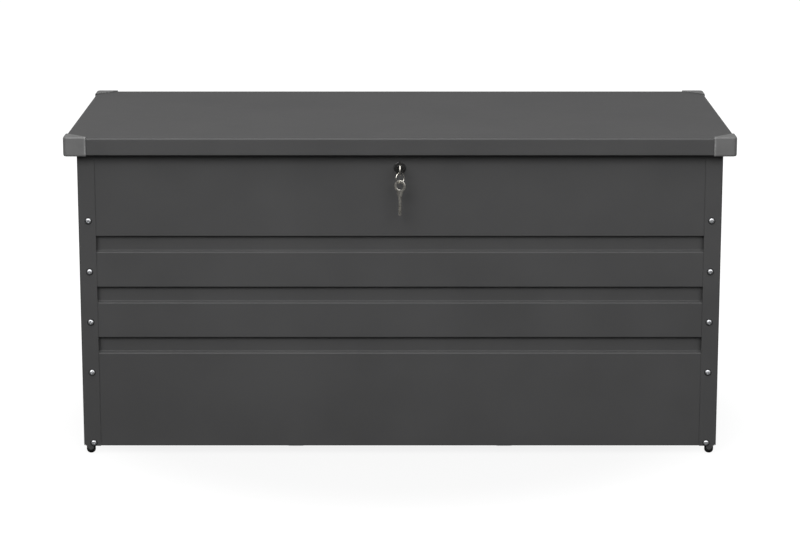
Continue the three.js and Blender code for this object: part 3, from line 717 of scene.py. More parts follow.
class Skin:
    """A material in the making: coordinates, a shader and the layers over its base colour."""

    def __init__(self, name, colour, scale, cloud, spread):
        self.material = bpy.data.materials.new(name)
        self.material.use_nodes = True
        self.graph = NodeGraph(self.material.node_tree)
        self.shader = self.material.node_tree.nodes["Principled BSDF"]
        self.where = self.graph.node("ShaderNodeTexCoord").outputs["Object"]
        grain = self.graph.group(shared("grain"), Vector=self.where, Scale=scale, Cloud_Scale=cloud)
        self.tone, self.height = grain["Tone"], grain["Height"]
        tone = self.graph.ramp(self.tone, 0.25, 0.75)
        self.colour = self.graph.mix(tone, shaded(colour, 1 - spread), shaded(colour, 1 + spread))

    def wear(self, colour, amount):
        """Lays a rubbed colour over the edges, which on the powder coat is also a painted highlight along
        the bends, and returns its mask.
        """
        edge = self.graph.node("ShaderNodeAttribute", attribute_name="edge").outputs["Fac"]
        mask = self.graph.group(shared("wear"), Vector=self.where, Edge=edge, Amount=amount)["Mask"]
        self.colour = self.graph.mix(mask, self.colour, shaded(colour, 1))
        return mask

    def dust(self, colour, amount):
        """Lays dust over faces that look up and returns its mask."""
        normal = self.graph.node("ShaderNodeNewGeometry").outputs["Normal"]
        mask = self.graph.group(shared("dust"), Vector=self.where, Normal=normal, Amount=amount)["Mask"]
        self.colour = self.graph.mix(mask, self.colour, shaded(colour, 1))
        return mask

    def bump(self, height, strength, distance):
        """Turns a height into the shader's normal."""
        node = self.graph.node("ShaderNodeBump")
        node.inputs["Strength"].default_value = strength
        node.inputs["Distance"].default_value = distance
        self.graph.put(node.inputs["Height"], height)
        self.graph.put(self.shader.inputs["Normal"], node.outputs["Normal"])

    def roughness(self, low, high, mask=0.0, change=0.0):
        """Roughness that follows the tone from low to high, changed where the mask is."""
        rough = self.graph.ramp(self.tone, 0.2, 0.8, low, high)
        if not change:
            return rough
        return self.graph.math("ADD", rough, self.graph.math("MULTIPLY", mask, change))

    def done(self, roughness, **constants):
        """Links colour and roughness, sets the shader's other values and returns the material."""
        self.graph.put(self.shader.inputs["Base Color"], self.colour)
        self.graph.put(self.shader.inputs["Roughness"], roughness)
        for key, value in constants.items():
            self.shader.inputs[key.replace("_", " ")].default_value = value
        return self.material


def powder_coat(colours):
    """Satin anthracite powder coat with orange peel, bends made lighter by rubbed coat and a painted
    highlight, and a trace of dust.
    """
    skin = Skin("powder_coat", colours.coat, scale=620.0, cloud=5.5, spread=0.06)
    # Lighter bends: partly rubbed coat, partly a painted highlight along each bend.
    mask = skin.wear(colours.coat_bend_highlight, amount=0.4)
    dust = skin.dust(colours.dust, amount=0.02)
    skin.bump(skin.height, strength=0.16, distance=0.1 * MM)
    rough = skin.roughness(0.50, 0.58, mask, change=-0.15)
    rough = skin.graph.math("ADD", rough, dust)
    return skin.done(rough, Specular_IOR_Level=0.4)


def cap_plastic(colours):
    """Grey moulded plastic with a fine spark-eroded grain and pale rubbed edges."""
    skin = Skin("cap_plastic", colours.cap, scale=1300.0, cloud=26.0, spread=0.07)
    mask = skin.wear(colours.cap_worn, amount=0.55)
    skin.dust(colours.dust, amount=0.04)
    skin.bump(skin.height, strength=0.35, distance=0.12 * MM)
    rough = skin.roughness(0.46, 0.58, mask, change=-0.12)
    return skin.done(rough)


def rubber(colours):
    """Matt black rubber with a dusty bloom."""
    skin = Skin("rubber", colours.rubber, scale=900.0, cloud=60.0, spread=0.25)
    skin.wear(colours.rubber_worn, amount=0.6)
    skin.dust(colours.dust, amount=0.04)
    skin.bump(skin.height, strength=0.4, distance=0.1 * MM)
    return skin.done(skin.roughness(0.66, 0.84), Specular_IOR_Level=0.35)


def zinc(colours):
    """Bright zinc plate with cloudy passivation and fine handling marks."""
    skin = Skin("zinc", colours.zinc, scale=700.0, cloud=95.0, spread=0.12)
    marks = skin.graph.group(shared("scratch"), Vector=skin.where, Scale=60.0)
    skin.wear(colours.zinc_worn, amount=0.35)
    skin.bump(marks["Height"], strength=0.12, distance=0.1 * MM)
    rough = skin.roughness(0.36, 0.52, marks["Mask"], change=0.08)
    return skin.done(rough, Metallic=1.0)


def nickel(colours):
    """Polished nickel plate with light scratches."""
    skin = Skin("nickel", colours.nickel, scale=800.0, cloud=120.0, spread=0.06)
    marks = skin.graph.group(shared("scratch"), Vector=skin.where, Scale=90.0)
    skin.wear(colours.nickel_worn, amount=0.35)
    skin.bump(marks["Height"], strength=0.08, distance=0.08 * MM)
    rough = skin.roughness(0.22, 0.34, marks["Mask"], change=0.12)
    return skin.done(rough, Metallic=1.0)


def tube_paint(colours):
    """Black gloss paint with rub marks, on the strut tubes and the lock."""
    skin = Skin("tube_paint", colours.tube, scale=500.0, cloud=30.0, spread=0.15)
    marks = skin.graph.group(shared("scratch"), Vector=skin.where, Scale=40.0)
    skin.wear(colours.tube_worn, amount=0.5)
    skin.bump(skin.height, strength=0.08, distance=0.1 * MM)
    rough = skin.roughness(0.22, 0.34, marks["Mask"], change=0.15)
    return skin.done(rough, Coat_Weight=0.3, Coat_Roughness=0.12)


FINISHES = {
    "sheet_metal": powder_coat,
    "cap_plastic": cap_plastic,
    "rubber": rubber,
    "zinc": zinc,
    "nickel": nickel,
    "black_paint": tube_paint,
}
MADE = {}


def finish(slot):
    """The material of a slot, built the first time it is asked for."""
    if slot not in MADE:
        MADE[slot] = FINISHES[slot](sizes()["colour"])
    return MADE[slot]


# ---------------------------------------------------------------- walls


def buckled(grid, low, high, width, amount):
    """Slow waves in a wall, in its outward direction u.

    The height is two crossed sine waves, which fade out towards all four edges.
    """
    v, w = grid[..., 1], grid[..., 2]
    fade = np.clip(np.sin(math.pi * np.clip((v - low) / (high - low), 0, 1)), 0, 1)
    fade = fade * np.clip(1 - (2 * w / width) ** 6, 0, 1)
    wave = np.sin(11.0 * w + 7.0 * v + 0.6) * 0.6 + np.sin(23.0 * w - 9.0 * v) * 0.4
    grid[..., 0] += amount * wave * fade
    return grid


def wall_path(reach, low, high, flange, sheet, groove):
    """A wall's outer face from its bottom flange up, past each groove, as (outwards, height)."""
    corners = [(reach - flange, low), (reach, low)]
    radii = [sheet.bend]
    for index in range(groove.count):
        foot = groove.bottom + index * groove.pitch
        head = foot + groove.height
        bed = reach - groove.depth
        corners += [(reach, foot), (bed, foot + groove.ledge), (bed, head), (reach, head)]
        radii += [sheet.bend, sheet.inner_bend, sheet.inner_bend, sheet.bend]
    corners.append((reach, high))
    return densify(fillet(corners, radii))


def build_wall(node, across, outward):
    """A grooved wall: across and outward are the axes of its length and its outer face."""
    every = sizes()
    sheet = every["sheet"]
    inner, reach = extent(node, outward)
    left, right = extent(node, across)
    low, high = extent(node, Z)
    path = wall_path(reach, low, high, reach - inner, sheet, every["groove"])
    skins = strip(path, left, right, sheet.wall_sheet)
    skins = [buckled(grid, low, high, right - left, sheet.buckle) for grid in skins]
    make_piece(node + "_sheet", placed(shell(*skins), (0, 0, 0), outward, Z, across),
               "box", "sheet_metal", [node])


# ---------------------------------------------------------------- posts


def post_bottom(along, tabbed, sheet, low):
    """Height of a post's lower edge by the distance from its corner.

    A slanted cut comes down from the corner, and a tabbed leg has half an ellipse in front of the
    foot.
    """
    inside = np.clip(1 - ((along - sheet.foot_tab) / sheet.tab_half) ** 2, 0, None) * tabbed
    edge = low + sheet.tab_drop
    cut = np.interp(along, [0, sheet.corner_cut], [edge + sheet.corner_cut, edge])
    return cut - sheet.tab_drop * np.sqrt(inside)


def build_post(node, side_x, side_y):
    """A corner post: its section, a right angle with a round corner, carried up from its foot."""
    sheet = sizes()["sheet"]
    _, corner_x = extent(node, side_x * X)
    _, corner_y = extent(node, side_y * Y)
    low, high = extent(node, Z)
    leg = sheet.post_leg
    corners = [(corner_x, corner_y - leg), (corner_x, corner_y), (corner_x - leg, corner_y)]
    path = densify(fillet(corners, sheet.post_bend, 8), 1.0 * MM, 0.25 * MM)
    past_corner = travelled(path) - travelled(path)[-1] / 2
    bottom = post_bottom(abs(past_corner), past_corner > 0, sheet, low)
    skins = strip(path, bottom, high, sheet.post_sheet, 0.06)
    surface = placed(shell(*skins), (0, 0, 0), side_x * X, side_y * Y, Z)
    make_piece(node + "_sheet", surface, "box", "sheet_metal", [node])


# ---------------------------------------------------------------- rails, floor and feet


def build_rail(node, wall, across, outward):
    """A top rail folded from one sheet: its flange doubled back at the inner edge, then a leg down."""
    inner, reach = extent(node, outward)
    low, high = extent(node, Z)
    sheet, fold, play, fold_radius, leg_radius = np.array([0.55, 1.2, 2.3, 0.58, 0.8]) * MM
    under, leg = high - fold, extent(wall, outward)[1] - play
    corners = [(reach, high), (inner, high), (inner, under), (leg, under), (leg, low)]
    path = densify(fillet(corners, [fold_radius, fold_radius, leg_radius], 4))
    skins = strip(path, *extent(node, across), sheet, 0.1)
    make_piece(node + "_fold", placed(shell(*skins), (0, 0, 0), outward, Z, across),
               "box", "sheet_metal", [node])


def hat_path(low, high, flange, slope, sheet, bend):
    """The visible face of a hat section as (across, height), flanges up and channel down."""
    left, right = low[0], high[0]
    top, bottom = high[2] - sheet, low[2]
    corners = [
        (left, top), (left + flange, top), (left + flange + slope, bottom),
        (right - flange - slope, bottom), (right - flange, top), (right, top),
    ]
    return densify(fillet(corners, bend, 4), 0.02)


def build_hat(node, slot):
    """A hat section lying along Y, with round corners on its flanges."""
    sheet = sizes()["sheet"].post_sheet
    low, high = limits(node)
    flange, slope, bend = 12 * MM, 3 * MM, 2 * MM
    path = hat_path(low, high, flange, slope, sheet, bend)
    middle, half = (low[1] + high[1]) / 2, (high[1] - low[1]) / 2
    surface = plate(path, half, sheet, 6 * MM)
    make_piece(node + "_hat", placed(surface, (0, middle, 0), X, Z, Y), None, slot, [node])


def build_floor():
    """The floor sheet, with slow waves of crossed sines that fade at its edges."""
    low, high = limits("floor_panel")
    sheet = sizes()["sheet"]
    path = densify(np.array([(low[0], low[2]), (high[0], low[2])]), 0.04)
    skins = strip(path, low[1], high[1], sheet.wall_sheet, 0.04)
    for grid in skins:
        x, y = grid[..., 0], grid[..., 2]
        fade = np.clip(1 - (x / high[0]) ** 6, 0, 1) * np.clip(1 - (y / high[1]) ** 6, 0, 1)
        grid[..., 1] += 0.8 * sheet.buckle * np.sin(13 * x + 0.8) * np.sin(11 * y + 0.3) * fade
    surface = placed(shell(*skins), (0, 0, 0), X, Z, Y)
    make_piece("floor_sheet", surface, None, "sheet_metal", ["floor_panel"])


def build_foot(node):
    """A rubber foot: a flat tread, a dome that is part of an ellipse, and a grooved collar."""
    low, high = limits(node)
    radius, top = (high[0] - low[0]) / 2, high[2]
    dome, collar, edge, tread = 7 * MM, 12.5 * MM, 0.8 * MM, 0.4 * MM
    turn = np.radians(np.linspace(28, 90, 8))
    rise = dome * (math.cos(turn[0]) - np.cos(turn)) / math.cos(turn[0])
    curve = np.stack([radius * np.sin(turn), rise], 1)
    waist = radius - edge
    collar_points = [(radius, collar), (waist, collar + edge), (waist, collar + 2 * edge),
                     (radius, collar + 3 * edge), (radius, top - edge), (waist, top), (0, top)]
    profile = [(0, tread), (radius * 0.3, tread), (radius * 0.34, 0), *curve, *collar_points]
    x, y, _ = (low + high) / 2
    make_piece(node + "_rubber", lathe(profile, 40, (x, y, 0)), None, "rubber", [node], sharp=50)


def build_bumper(node):
    """A rubber buffer with a rounded head."""
    low, high = limits(node)
    radius, draft, foot_edge, head_edge = (high[0] - low[0]) / 2, 0.6 * MM, 0.5 * MM, 1.8 * MM
    corners = [(0, low[2]), (radius, low[2]), (radius - draft, high[2]), (0, high[2])]
    profile = fillet(corners, [foot_edge, head_edge], 5)
    x, y, _ = (low + high) / 2
    make_piece(node + "_rubber", lathe(profile, 32, (x, y, 0)), None, "rubber", [node])


# ---------------------------------------------------------------- lid


def rounded_ring(half_x, half_y, radius, inset, arc_steps, edge_steps):
    """Points round a rectangle with round corners, drawn in by each inset.

    A corner's middle is the half size less the larger of radius and inset, and its own radius is
    what the inset leaves.
    """
    inset = np.asarray(inset)[:, None]
    left = np.maximum(radius - inset, 0)
    middle = np.maximum(radius, inset)
    quarter = np.linspace(0, math.pi / 2, arc_steps + 1)
    signs = ((1, 1), (-1, 1), (-1, -1), (1, -1))
    arcs = [
        np.stack([sx * (half_x - middle) + left * np.cos(quarter + k * math.pi / 2),
                  sy * (half_y - middle) + left * np.sin(quarter + k * math.pi / 2)], -1)
        for k, (sx, sy) in enumerate(signs)
    ]
    ring = []
    for index, (points, following) in enumerate(zip(arcs, arcs[1:] + arcs[:1])):
        count = edge_steps[index % 2]
        share = np.concatenate([[0.002], np.linspace(0, 1, count + 1)[1:-1], [0.998]])[:, None]
        start, end = points[:, -1:, :], following[:, :1, :]
        ring += [points, start + (end - start) * share]
    return np.concatenate(ring, 1)


def lid_skin(path, half_x, half_y, lid, top, amount):
    """One skin of the lid: a path of (outwards, height) carried round the rounded rectangle.

    The rear hem is squeezed to its own width, and the flat top gets slow waves that fade towards
    its edges.
    """
    inset, height = -path[:, 0], path[:, 1]
    ring = rounded_ring(half_x, half_y, lid.corner, inset, 6, (44, 22))
    x, y = ring[..., 0], ring[..., 1]
    below_bend, still_edge, fade_width = 10 * MM, 40 * MM, 110 * MM
    hem = height < top - below_bend
    blend, depth = 8 * lid.hem, 2 * half_y
    from_rear = np.interp(half_y - y, [0, lid.hem, blend, depth], [0, lid.rear_hem, blend, depth])
    y = np.where(hem[:, None], half_y - from_rear, y)
    edge = np.minimum(half_x - abs(x), half_y - abs(y))
    fade = np.clip((edge - still_edge) / fade_width, 0, 1)
    fade = fade**2 * (3 - 2 * fade)
    wave = np.sin(7.5 * x + 4 * y + 0.9) * 0.6 + np.sin(15 * x - 9 * y + 2.1) * 0.4
    on_top = abs(height - path[-1, 1]) < 1e-6
    z = height[:, None] + np.where(on_top[:, None], amount * wave * fade, 0)
    return np.stack([x, y, z], -1)


def build_lid():
    """The lid: hem, skirt, round bend and top in one sheet, closed along its middle line."""
    every = sizes()
    sheet, lid = every["sheet"], every["lid"]
    low, high = limits("lid_panel")
    half_x, half_y, top = high[0], high[1], high[2]
    corners = [(-lid.hem, low[2]), (0, low[2]), (0, top), (-half_y, top)]
    outer = densify(fillet(corners, [sheet.bend, lid.bend], 8), 0.022)
    inner = offset(outer, sheet.wall_sheet)
    inner[-1, 0] = outer[-1, 0]
    skins = [lid_skin(path, half_x, half_y, lid, top, 1.2 * sheet.buckle) for path in (outer, inner)]
    front, back = (patch(skin, wrap_columns=True) for skin in skins)
    columns = skins[0].shape[1]
    rim = quads(np.stack([np.arange(columns), np.arange(columns) + len(front[0])]), wrap_columns=True)
    points, faces = joined(front, back)
    make_piece("lid_sheet", (points, np.concatenate([faces, rim])), None, "sheet_metal", ["lid_panel"])


def cap_skin(perimeter, inward, edge, heights, inset, bend, top):
    """One skin of a corner cap: curled rim, wall, rounded top edge and web, from the bottom up.

    The rim is a quarter of an ellipse that curls in under the wall. The web is ruled straight from
    the wall's rounded top to the slanted edge.
    """
    curl_in, curl_up = 2.3 * MM, 4.5 * MM
    rim = np.radians(np.linspace(90, 0, 7))
    fold = np.radians(np.linspace(0, 90, 7))[1:]
    web = np.array([0.12, 0.4, 0.7, 0.94, 1.0])
    insets = np.concatenate([
        np.maximum(inset, curl_in * (1 - np.cos(rim)) + 0.4 * inset),
        np.full(len(heights) - 1, inset),
        inset + bend * (1 - np.cos(fold)),
    ])
    levels = np.concatenate([
        heights[0] + curl_up * (1 - np.sin(rim)), heights[1:], top - bend + bend * np.sin(fold),
        np.full(len(web), top),
    ])
    wall = perimeter + inward * insets[:, None, None]
    rows = np.concatenate([wall, wall[-1] + (edge - wall[-1]) * web[:, None, None]])
    return np.concatenate([rows, np.broadcast_to(levels[:, None, None], (*rows.shape[:2], 1))], -1)


def build_cap(node, side_x, side_y):
    """A moulded corner cap, drawn for the corner at +X +Y and mirrored to its own."""
    lid = sizes()["lid"]
    low, high = extent(node, Z)
    corner = np.array([extent(node, side_x * X)[1], extent(node, side_y * Y)[1]])
    wall, leg = lid.cap_wall, lid.cap_leg
    play, shoulder, steps = 1.5 * MM, 0.8 * MM, 8
    radius = lid.corner + wall + play
    turn = np.radians(np.linspace(90, 0, 13))
    around = np.stack([np.cos(turn), np.sin(turn)], 1)
    bend = corner - radius + radius * around
    share = np.linspace(0, 1, steps + 1)[:, None]
    front_end, side_end = corner - [leg, 0], corner - [0, leg]
    front = front_end + (bend[0] - front_end) * share
    side = bend[-1] + (side_end - bend[-1]) * share
    perimeter = np.concatenate([front[:-1], bend, side[1:]])
    normal = np.concatenate([np.tile([0.0, 1.0], (steps, 1)), around, np.tile([1.0, 0.0], (steps, 1))])
    along = (travelled(perimeter) / travelled(perimeter)[-1])[:, None]
    web_start, web_end = corner - [leg, lid.cap_setback], corner - [lid.cap_setback, leg]
    edge = web_start + (web_end - web_start) * along
    upper = high - lid.cap_bend
    heights = np.array([low, (low + upper) / 2, upper - shoulder, upper])
    outer = cap_skin(perimeter, -normal, edge, heights, 0.0, lid.cap_bend, high)
    inner = cap_skin(perimeter, -normal, edge, heights, wall, lid.cap_bend - wall, high - wall)
    surface = placed(shell(outer, inner), (0, 0, 0), side_x * X, side_y * Y, Z)
    make_piece(node + "_moulding", surface, None, "cap_plastic", [node], sharp=40, bevel=0.55 * MM)


def build_spot_welds(names):
    """Round weld marks along the flanges of the lid's stiffeners."""
    sheet = sizes()["sheet"].post_sheet
    from_end, from_edge, in_row = 22 * MM, 6 * MM, 7
    places = []
    for name in names:
        low, high = limits(name)
        rows = np.linspace(low[1] + from_end, high[1] - from_end, in_row)
        for x in (low[0] + from_edge, high[0] - from_edge):
            places += [(x, y, high[2] - sheet) for y in rows]
    mark = rivet_head(2.4 * MM, 0.35 * MM, 12)
    make_piece("stiffener_weld_marks", repeated(mark, places, X, -Y, -Z), "lid", "sheet_metal")


# ---------------------------------------------------------------- hinges


def rolled_arm(path, low, high, sheet):
    """A leaf's arm, a hair thinner than its plate so that their faces don't coincide."""
    hair = 0.03 * MM
    return shell(*strip(offset(path, hair), low + hair, high - hair, sheet - 2 * hair, 0.05))


def hinge_plate(face, low, high, half, sheet, radius):
    """A leaf's upright plate from low to high."""
    return plate(densify(np.array([(face, low), (face, high)])), half, sheet, radius)


def build_hinge(name):
    """A hinge: two leaves rolled from sheet round one pin, drawn as (Y, Z) from the hinge axis."""
    sheet = sizes()["sheet"].post_sheet
    axis, _ = joint("lid_hinge")
    body_node, lid_node = f"hinge_body_leaf_{name}", f"hinge_lid_leaf_{name}"
    low, high = limits(body_node)
    middle = np.array([(low[0] + high[0]) / 2, axis[1], axis[2]])
    half = (high[0] - low[0]) / 2
    third = half / 3
    knuckle, play, crank_bend = 5 * MM, 0.25 * MM, 2 * MM
    bore = knuckle - sheet

    face, drop = low[1] - axis[1] + sheet, low[2] - axis[2]
    arm_foot, plate_top = -18 * MM, -13 * MM
    corners = [(face, arm_foot), (face, face + bore - knuckle), (-bore, -knuckle), (-bore, 0)]
    crank = fillet(corners, crank_bend, 4)
    arm = np.concatenate([crank[:-1], arc((0, 0), bore, 180, -110, 18)])
    arms = [rolled_arm(arm, start, end, sheet)
            for start, end in ((-half, -third - play), (third + play, half))]
    leaf = joined(hinge_plate(face, drop, plate_top, half, sheet, 5 * MM), *arms)
    make_piece(body_node + "_rolled", placed(leaf, middle, Y, Z, X), None, "zinc", [body_node])

    _, high = limits(lid_node)
    face, top = high[1] - axis[1], high[2] - axis[2]
    lip, overlap, plate_gap = 0.5 * MM, 4 * MM, 1 * MM
    foot = knuckle - lip
    head = foot + face - knuckle
    crank = fillet([(knuckle, 0), (knuckle, foot), (face, head), (face, head + overlap)], crank_bend, 4)
    arm = np.concatenate([arc((0, 0), knuckle, 70, 360, 18), crank[1:]])
    leaf = joined(hinge_plate(face, head + plate_gap, top, half, sheet, 4 * MM),
                  rolled_arm(arm, -third + play, third - play, sheet))
    make_piece(lid_node + "_rolled", placed(leaf, middle, Y, Z, X), None, "zinc", [lid_node])

    reach, neck = half + 1.6 * MM, half + 0.3 * MM
    pin, head = 3.5 * MM, 4.3 * MM
    corners = [(0, -reach), (head, -reach), (head, -neck), (pin, -neck),
               (pin, neck), (head, neck), (head, reach), (0, reach)]
    profile = fillet(corners, np.array([0.9, 0.2, 0.1, 0.1, 0.2, 0.9]) * MM, 3)
    make_piece(f"hinge_pin_{name}_turned", lathe(profile, 32, middle, X, Y), None, "zinc",
               [f"hinge_pin_{name}"])


# ---------------------------------------------------------------- gas struts


def ball_stud(standoff):
    """A ball on a waisted stud with a flat collar, standing on 0, as a lathe profile."""
    ball, neck, collar, collar_height = 5.0 * MM, 2.8 * MM, 5.2 * MM, 2.4 * MM
    turn = np.linspace(math.pi - math.asin(neck / ball), 0, 14)
    bead = np.stack([ball * np.sin(turn), standoff + ball * np.cos(turn)], 1)
    bead[-1, 0] = 0
    corners = [(0, 0), (collar, 0), (collar, collar_height), (neck, collar_height), (neck, bead[0, 1])]
    foot = fillet(corners, np.array([0.3, 0.5, 0.8]) * MM, 4)
    return np.concatenate([foot[:-1], bead])


def build_strut_brackets(side, sign):
    """The raised bracket on the side wall and the angle bracket under the lid, with their balls."""
    sheet = sizes()["sheet"].post_sheet
    standoff, flange, slope = 12.5 * MM, 14 * MM, 3 * MM
    node = f"strut_body_bracket_{side}"
    ball, _ = joint(f"strut_rod_{side}_pivot")
    low, high = limits(node)
    wall_x = extent(node, sign * X)[1] - sheet
    plate_x = abs(ball[0]) + standoff
    rise = wall_x - plate_x
    half = (high[1] - low[1]) / 2
    corners = [(half, 0), (half - flange, 0), (half - flange - slope, rise),
               (slope + flange - half, rise), (flange - half, 0), (-half, 0)]
    path = densify(fillet(corners, 2.4 * MM, 4), 0.01)
    middle = np.array([sign * wall_x, ball[1], (high[2] + low[2]) / 2])
    bracket = placed(plate(path, (high[2] - low[2]) / 2, sheet, 4 * MM), middle, Y, -sign * X, Z)
    stud = lathe(ball_stud(standoff), 28, (sign * plate_x, ball[1], ball[2]), -sign * X, Y)
    make_piece(node + "_fold", joined(bracket, stud), None, "zinc", [node])

    node = f"strut_lid_bracket_{side}"
    ball, _ = joint(f"strut_tube_{side}_pivot")
    low, high = limits(node)
    corners = [(extent(node, sign * X)[1], high[2]), (plate_x, high[2]), (plate_x, low[2])]
    path = densify(fillet(corners, 2.2 * MM, 5), 0.01)
    middle = (0, (low[1] + high[1]) / 2, 0)
    bracket = placed(plate(path, (high[1] - low[1]) / 2, sheet, 5 * MM), middle, sign * X, Z, Y)
    stud = lathe(ball_stud(standoff), 28, (sign * plate_x, ball[1], ball[2]), -sign * X, Y)
    make_piece(node + "_fold", joined(bracket, stud), None, "zinc", [node])


def ball_socket(place, sign, along):
    """A moulded socket round a ball: a cup open towards its bracket, and a collar for the stem."""
    radius, back, lip, bore, wall = np.array([8, -7.5, 7, 5.45, 2]) * MM
    corners = [(0, back), (radius, back), (radius, lip), (bore, lip), (bore, back + wall), (0, back + wall)]
    cup = fillet(corners, np.array([1.8, 0.7, 0.5, 1.5]) * MM, 5)
    neck, start, end = 5.6 * MM, 5.6 * MM, 15 * MM
    collar = fillet([(0, start), (neck, start), (neck, end), (0, end)], [0.3 * MM, 0.8 * MM], 4)
    return joined(lathe(cup, 40, place, sign * X, Y), lathe(collar, 32, place, along, X))


def build_strut(side, sign):
    """A gas strut: a plated rod and a painted tube, each on its own ball socket."""
    rod_body, tube_body = f"strut_rod_{side}", f"strut_tube_{side}"
    low_ball, _ = joint(rod_body + "_pivot")
    high_ball, _ = joint(tube_body + "_pivot")
    along = (high_ball - low_ball) / np.linalg.norm(high_ball - low_ball)
    rod, tube, bore, bottom, start = 4 * MM, 9 * MM, 5 * MM, 20 * MM, 14 * MM
    rod_end, tube_end = 240 * MM, 244 * MM
    bar = lathe(soft_cylinder(rod, start, rod_end, 0.5 * MM), 36, low_ball, along, X)
    make_piece(rod_body + "_bar", bar, rod_body, "nickel", [rod_body])
    make_piece(rod_body + "_socket", ball_socket(low_ball, sign, along), rod_body, "rubber")

    corners = [(0, start), (tube, start), (tube, tube_end), (bore, tube_end), (bore, bottom), (0, bottom)]
    profile = densify(fillet(corners, np.array([3.2, 2.4, 0.4, 0.4]) * MM, 6), 0.05)
    barrel = lathe(profile, 40, high_ball, -along, X)
    make_piece(tube_body + "_shell", barrel, tube_body, "black_paint", [tube_body])
    make_piece(tube_body + "_socket", ball_socket(high_ball, sign, -along), tube_body, "rubber")


# ---------------------------------------------------------------- lock


def thread(radius, low, high, depth, pitch):
    """A profile of thread ridges: the radius is a triangle wave along the height."""
    places = np.arange(low, high, pitch / 2)
    ridge = np.where(np.arange(len(places)) % 2 == 0, radius - depth, radius)
    return np.stack([ridge, places], 1)


def build_lock_housing(place, axes):
    """A flanged housing with a threaded barrel; returns where it ends behind the wall.

    Heights along the lock's axis are measured towards the front.
    """
    low, high = limits("lock_housing")
    front, rear, radius = -low[1], -high[1], high[0]
    flange, barrel, bore = 2 * MM, 9 * MM, 6.25 * MM
    back = front - flange
    corners = [(bore, front), (radius, front), (radius, back), (barrel, back), (barrel, rear), (bore, rear)]
    radii = np.array([1.1, 0.3, 0.2, 0.6, 0.2, 0.5]) * MM
    housing = ring_solid(corners, radii, 56)
    sleeve, root = bore + 0.8 * MM, barrel - 0.2 * MM
    start, end = rear + 1.5 * MM, back - 2.3 * MM
    ridges = thread(barrel + 0.12 * MM, rear + 2 * MM, back - 2.5 * MM, 0.35 * MM, 1 * MM)
    profile = [(sleeve, start), (root, start), *ridges, (root, end), (sleeve, end)]
    threads = turned(profile, 48, (0, 0, 0), Z, X, True)
    make_piece("lock_housing_turned", placed(joined(housing, threads), place, *axes), None,
               "black_paint", ["lock_housing"])
    return rear


def build_lock_nut(node, segments, place, axes):
    """A hexagonal nut on the lock's axis."""
    low, high = limits(node)
    reach = max((high - low)[0], (high - low)[2]) / 2
    nut = placed(hexagon(reach, -high[1], -low[1], segments), place, *axes)
    make_piece(node + "_chamfered", nut, None, "zinc", [node])


def build_lock_plug(place, axes, housing_rear):
    """The turning plug: a disc grid whose keyway is cut straight back, and its threaded stem."""
    low, high = limits("lock_plug")
    radius, front, slot_depth = 6 * MM, -low[1], 33.6 * MM
    stud, plug_rear = 3.7 * MM, housing_rear - 0.3 * MM
    slot_across, slot_high, lip = 0.217, 0.64, 0.02
    side = np.array([slot_across, slot_across + lip, 0.42, slot_high, slot_high + lip, 0.82, 0.93, 1.0])
    u, v, x, y = disc_grid(np.concatenate([-side[::-1], side]))
    keyway = (abs(u) <= slot_across) & (abs(v) <= slot_high)
    rounding = np.clip((np.hypot(x, y) - 0.9) / 0.1, 0, 1) ** 2 * 0.5 * MM
    face = np.stack([x * radius, y * radius, front - keyway * slot_depth - rounding], -1)
    rear_face = np.stack([x * radius, y * radius, 0 * x + plug_rear], -1)
    stem = lathe(soft_cylinder(stud, -high[1], plug_rear + 1 * MM, 0.5 * MM), 32)
    plug = placed(joined(shell(face, rear_face), stem), place, *axes)
    make_piece("lock_plug_slotted", plug, None, "black_paint", ["lock_plug"])


def build_lock_cam(place):
    """The cam: a strip bent towards the front at its tip, with a round end on the plug."""
    low, high = limits("lock_cam")
    sheet, pivot, half = 2 * MM, 7 * MM, 6 * MM
    corners = [(low[0], low[1]), (low[0], high[1]), (pivot, high[1])]
    path = densify(fillet(corners, 2.6 * MM, 6), 0.5 * MM, 0.2 * MM)
    x = path[:, 0]
    hook = np.interp(path[:, 1], [high[1] - 2.7 * MM, high[1] - 2.6 * MM], [1.0, 0.0])
    round_end = np.sqrt(np.clip(pivot**2 - x**2, 0, None))
    width = np.where(x < 0, np.maximum(half - 1 * MM * hook, round_end), round_end)
    cam = shell(*strip(path, -width, width, -sheet, 0.004, 0.3 * MM))
    make_piece("lock_cam_bent", placed(cam, place, X, Y, Z), None, "zinc", ["lock_cam"])


def build_lock():
    """The cam lock: housing, nut, plug, cam and cam nut, on the axis of the lock's joint."""
    axis, _ = joint("lock_turn")
    place, axes = np.array([0.0, 0.0, axis[2]]), (X, Z, -Y)
    housing_rear = build_lock_housing(place, axes)
    build_lock_nut("lock_nut", 48, place, axes)
    build_lock_plug(place, axes, housing_rear)
    build_lock_cam(place)
    build_lock_nut("cam_nut", 36, place, axes)


def build_strike():
    """The strike under the lid: top flange, hanging plate and lip, each narrower than the last."""
    sheet = sizes()["sheet"].post_sheet
    low, high = limits("strike_plate")
    _, cam_rear = extent("lock_cam", Y)
    lip_rear = cam_rear - 4.6 * MM
    corners = [(high[1], high[2]), (low[1], high[2]), (low[1], low[2]), (lip_rear, low[2])]
    path = densify(fillet(corners, 2.0 * MM, 6), 1.5 * MM, 0.3 * MM)
    bend_loss, ease, plate_half, lip_half = 1.6 * MM, 2.2 * MM, 14 * MM, 8 * MM
    first = high[1] - low[1] - bend_loss
    second = first + high[2] - low[2] - bend_loss
    width = np.interp(travelled(path), [first - ease, first + ease, second - ease, second + ease],
                      [high[0], plate_half, plate_half, lip_half])
    surface = shell(*strip(path, -width, width, sheet, 0.006, 0.3 * MM))
    make_piece("strike_plate_bent", placed(surface, (0, 0, 0), Y, Z, X), None, "zinc", ["strike_plate"])


# ---------------------------------------------------------------- keys


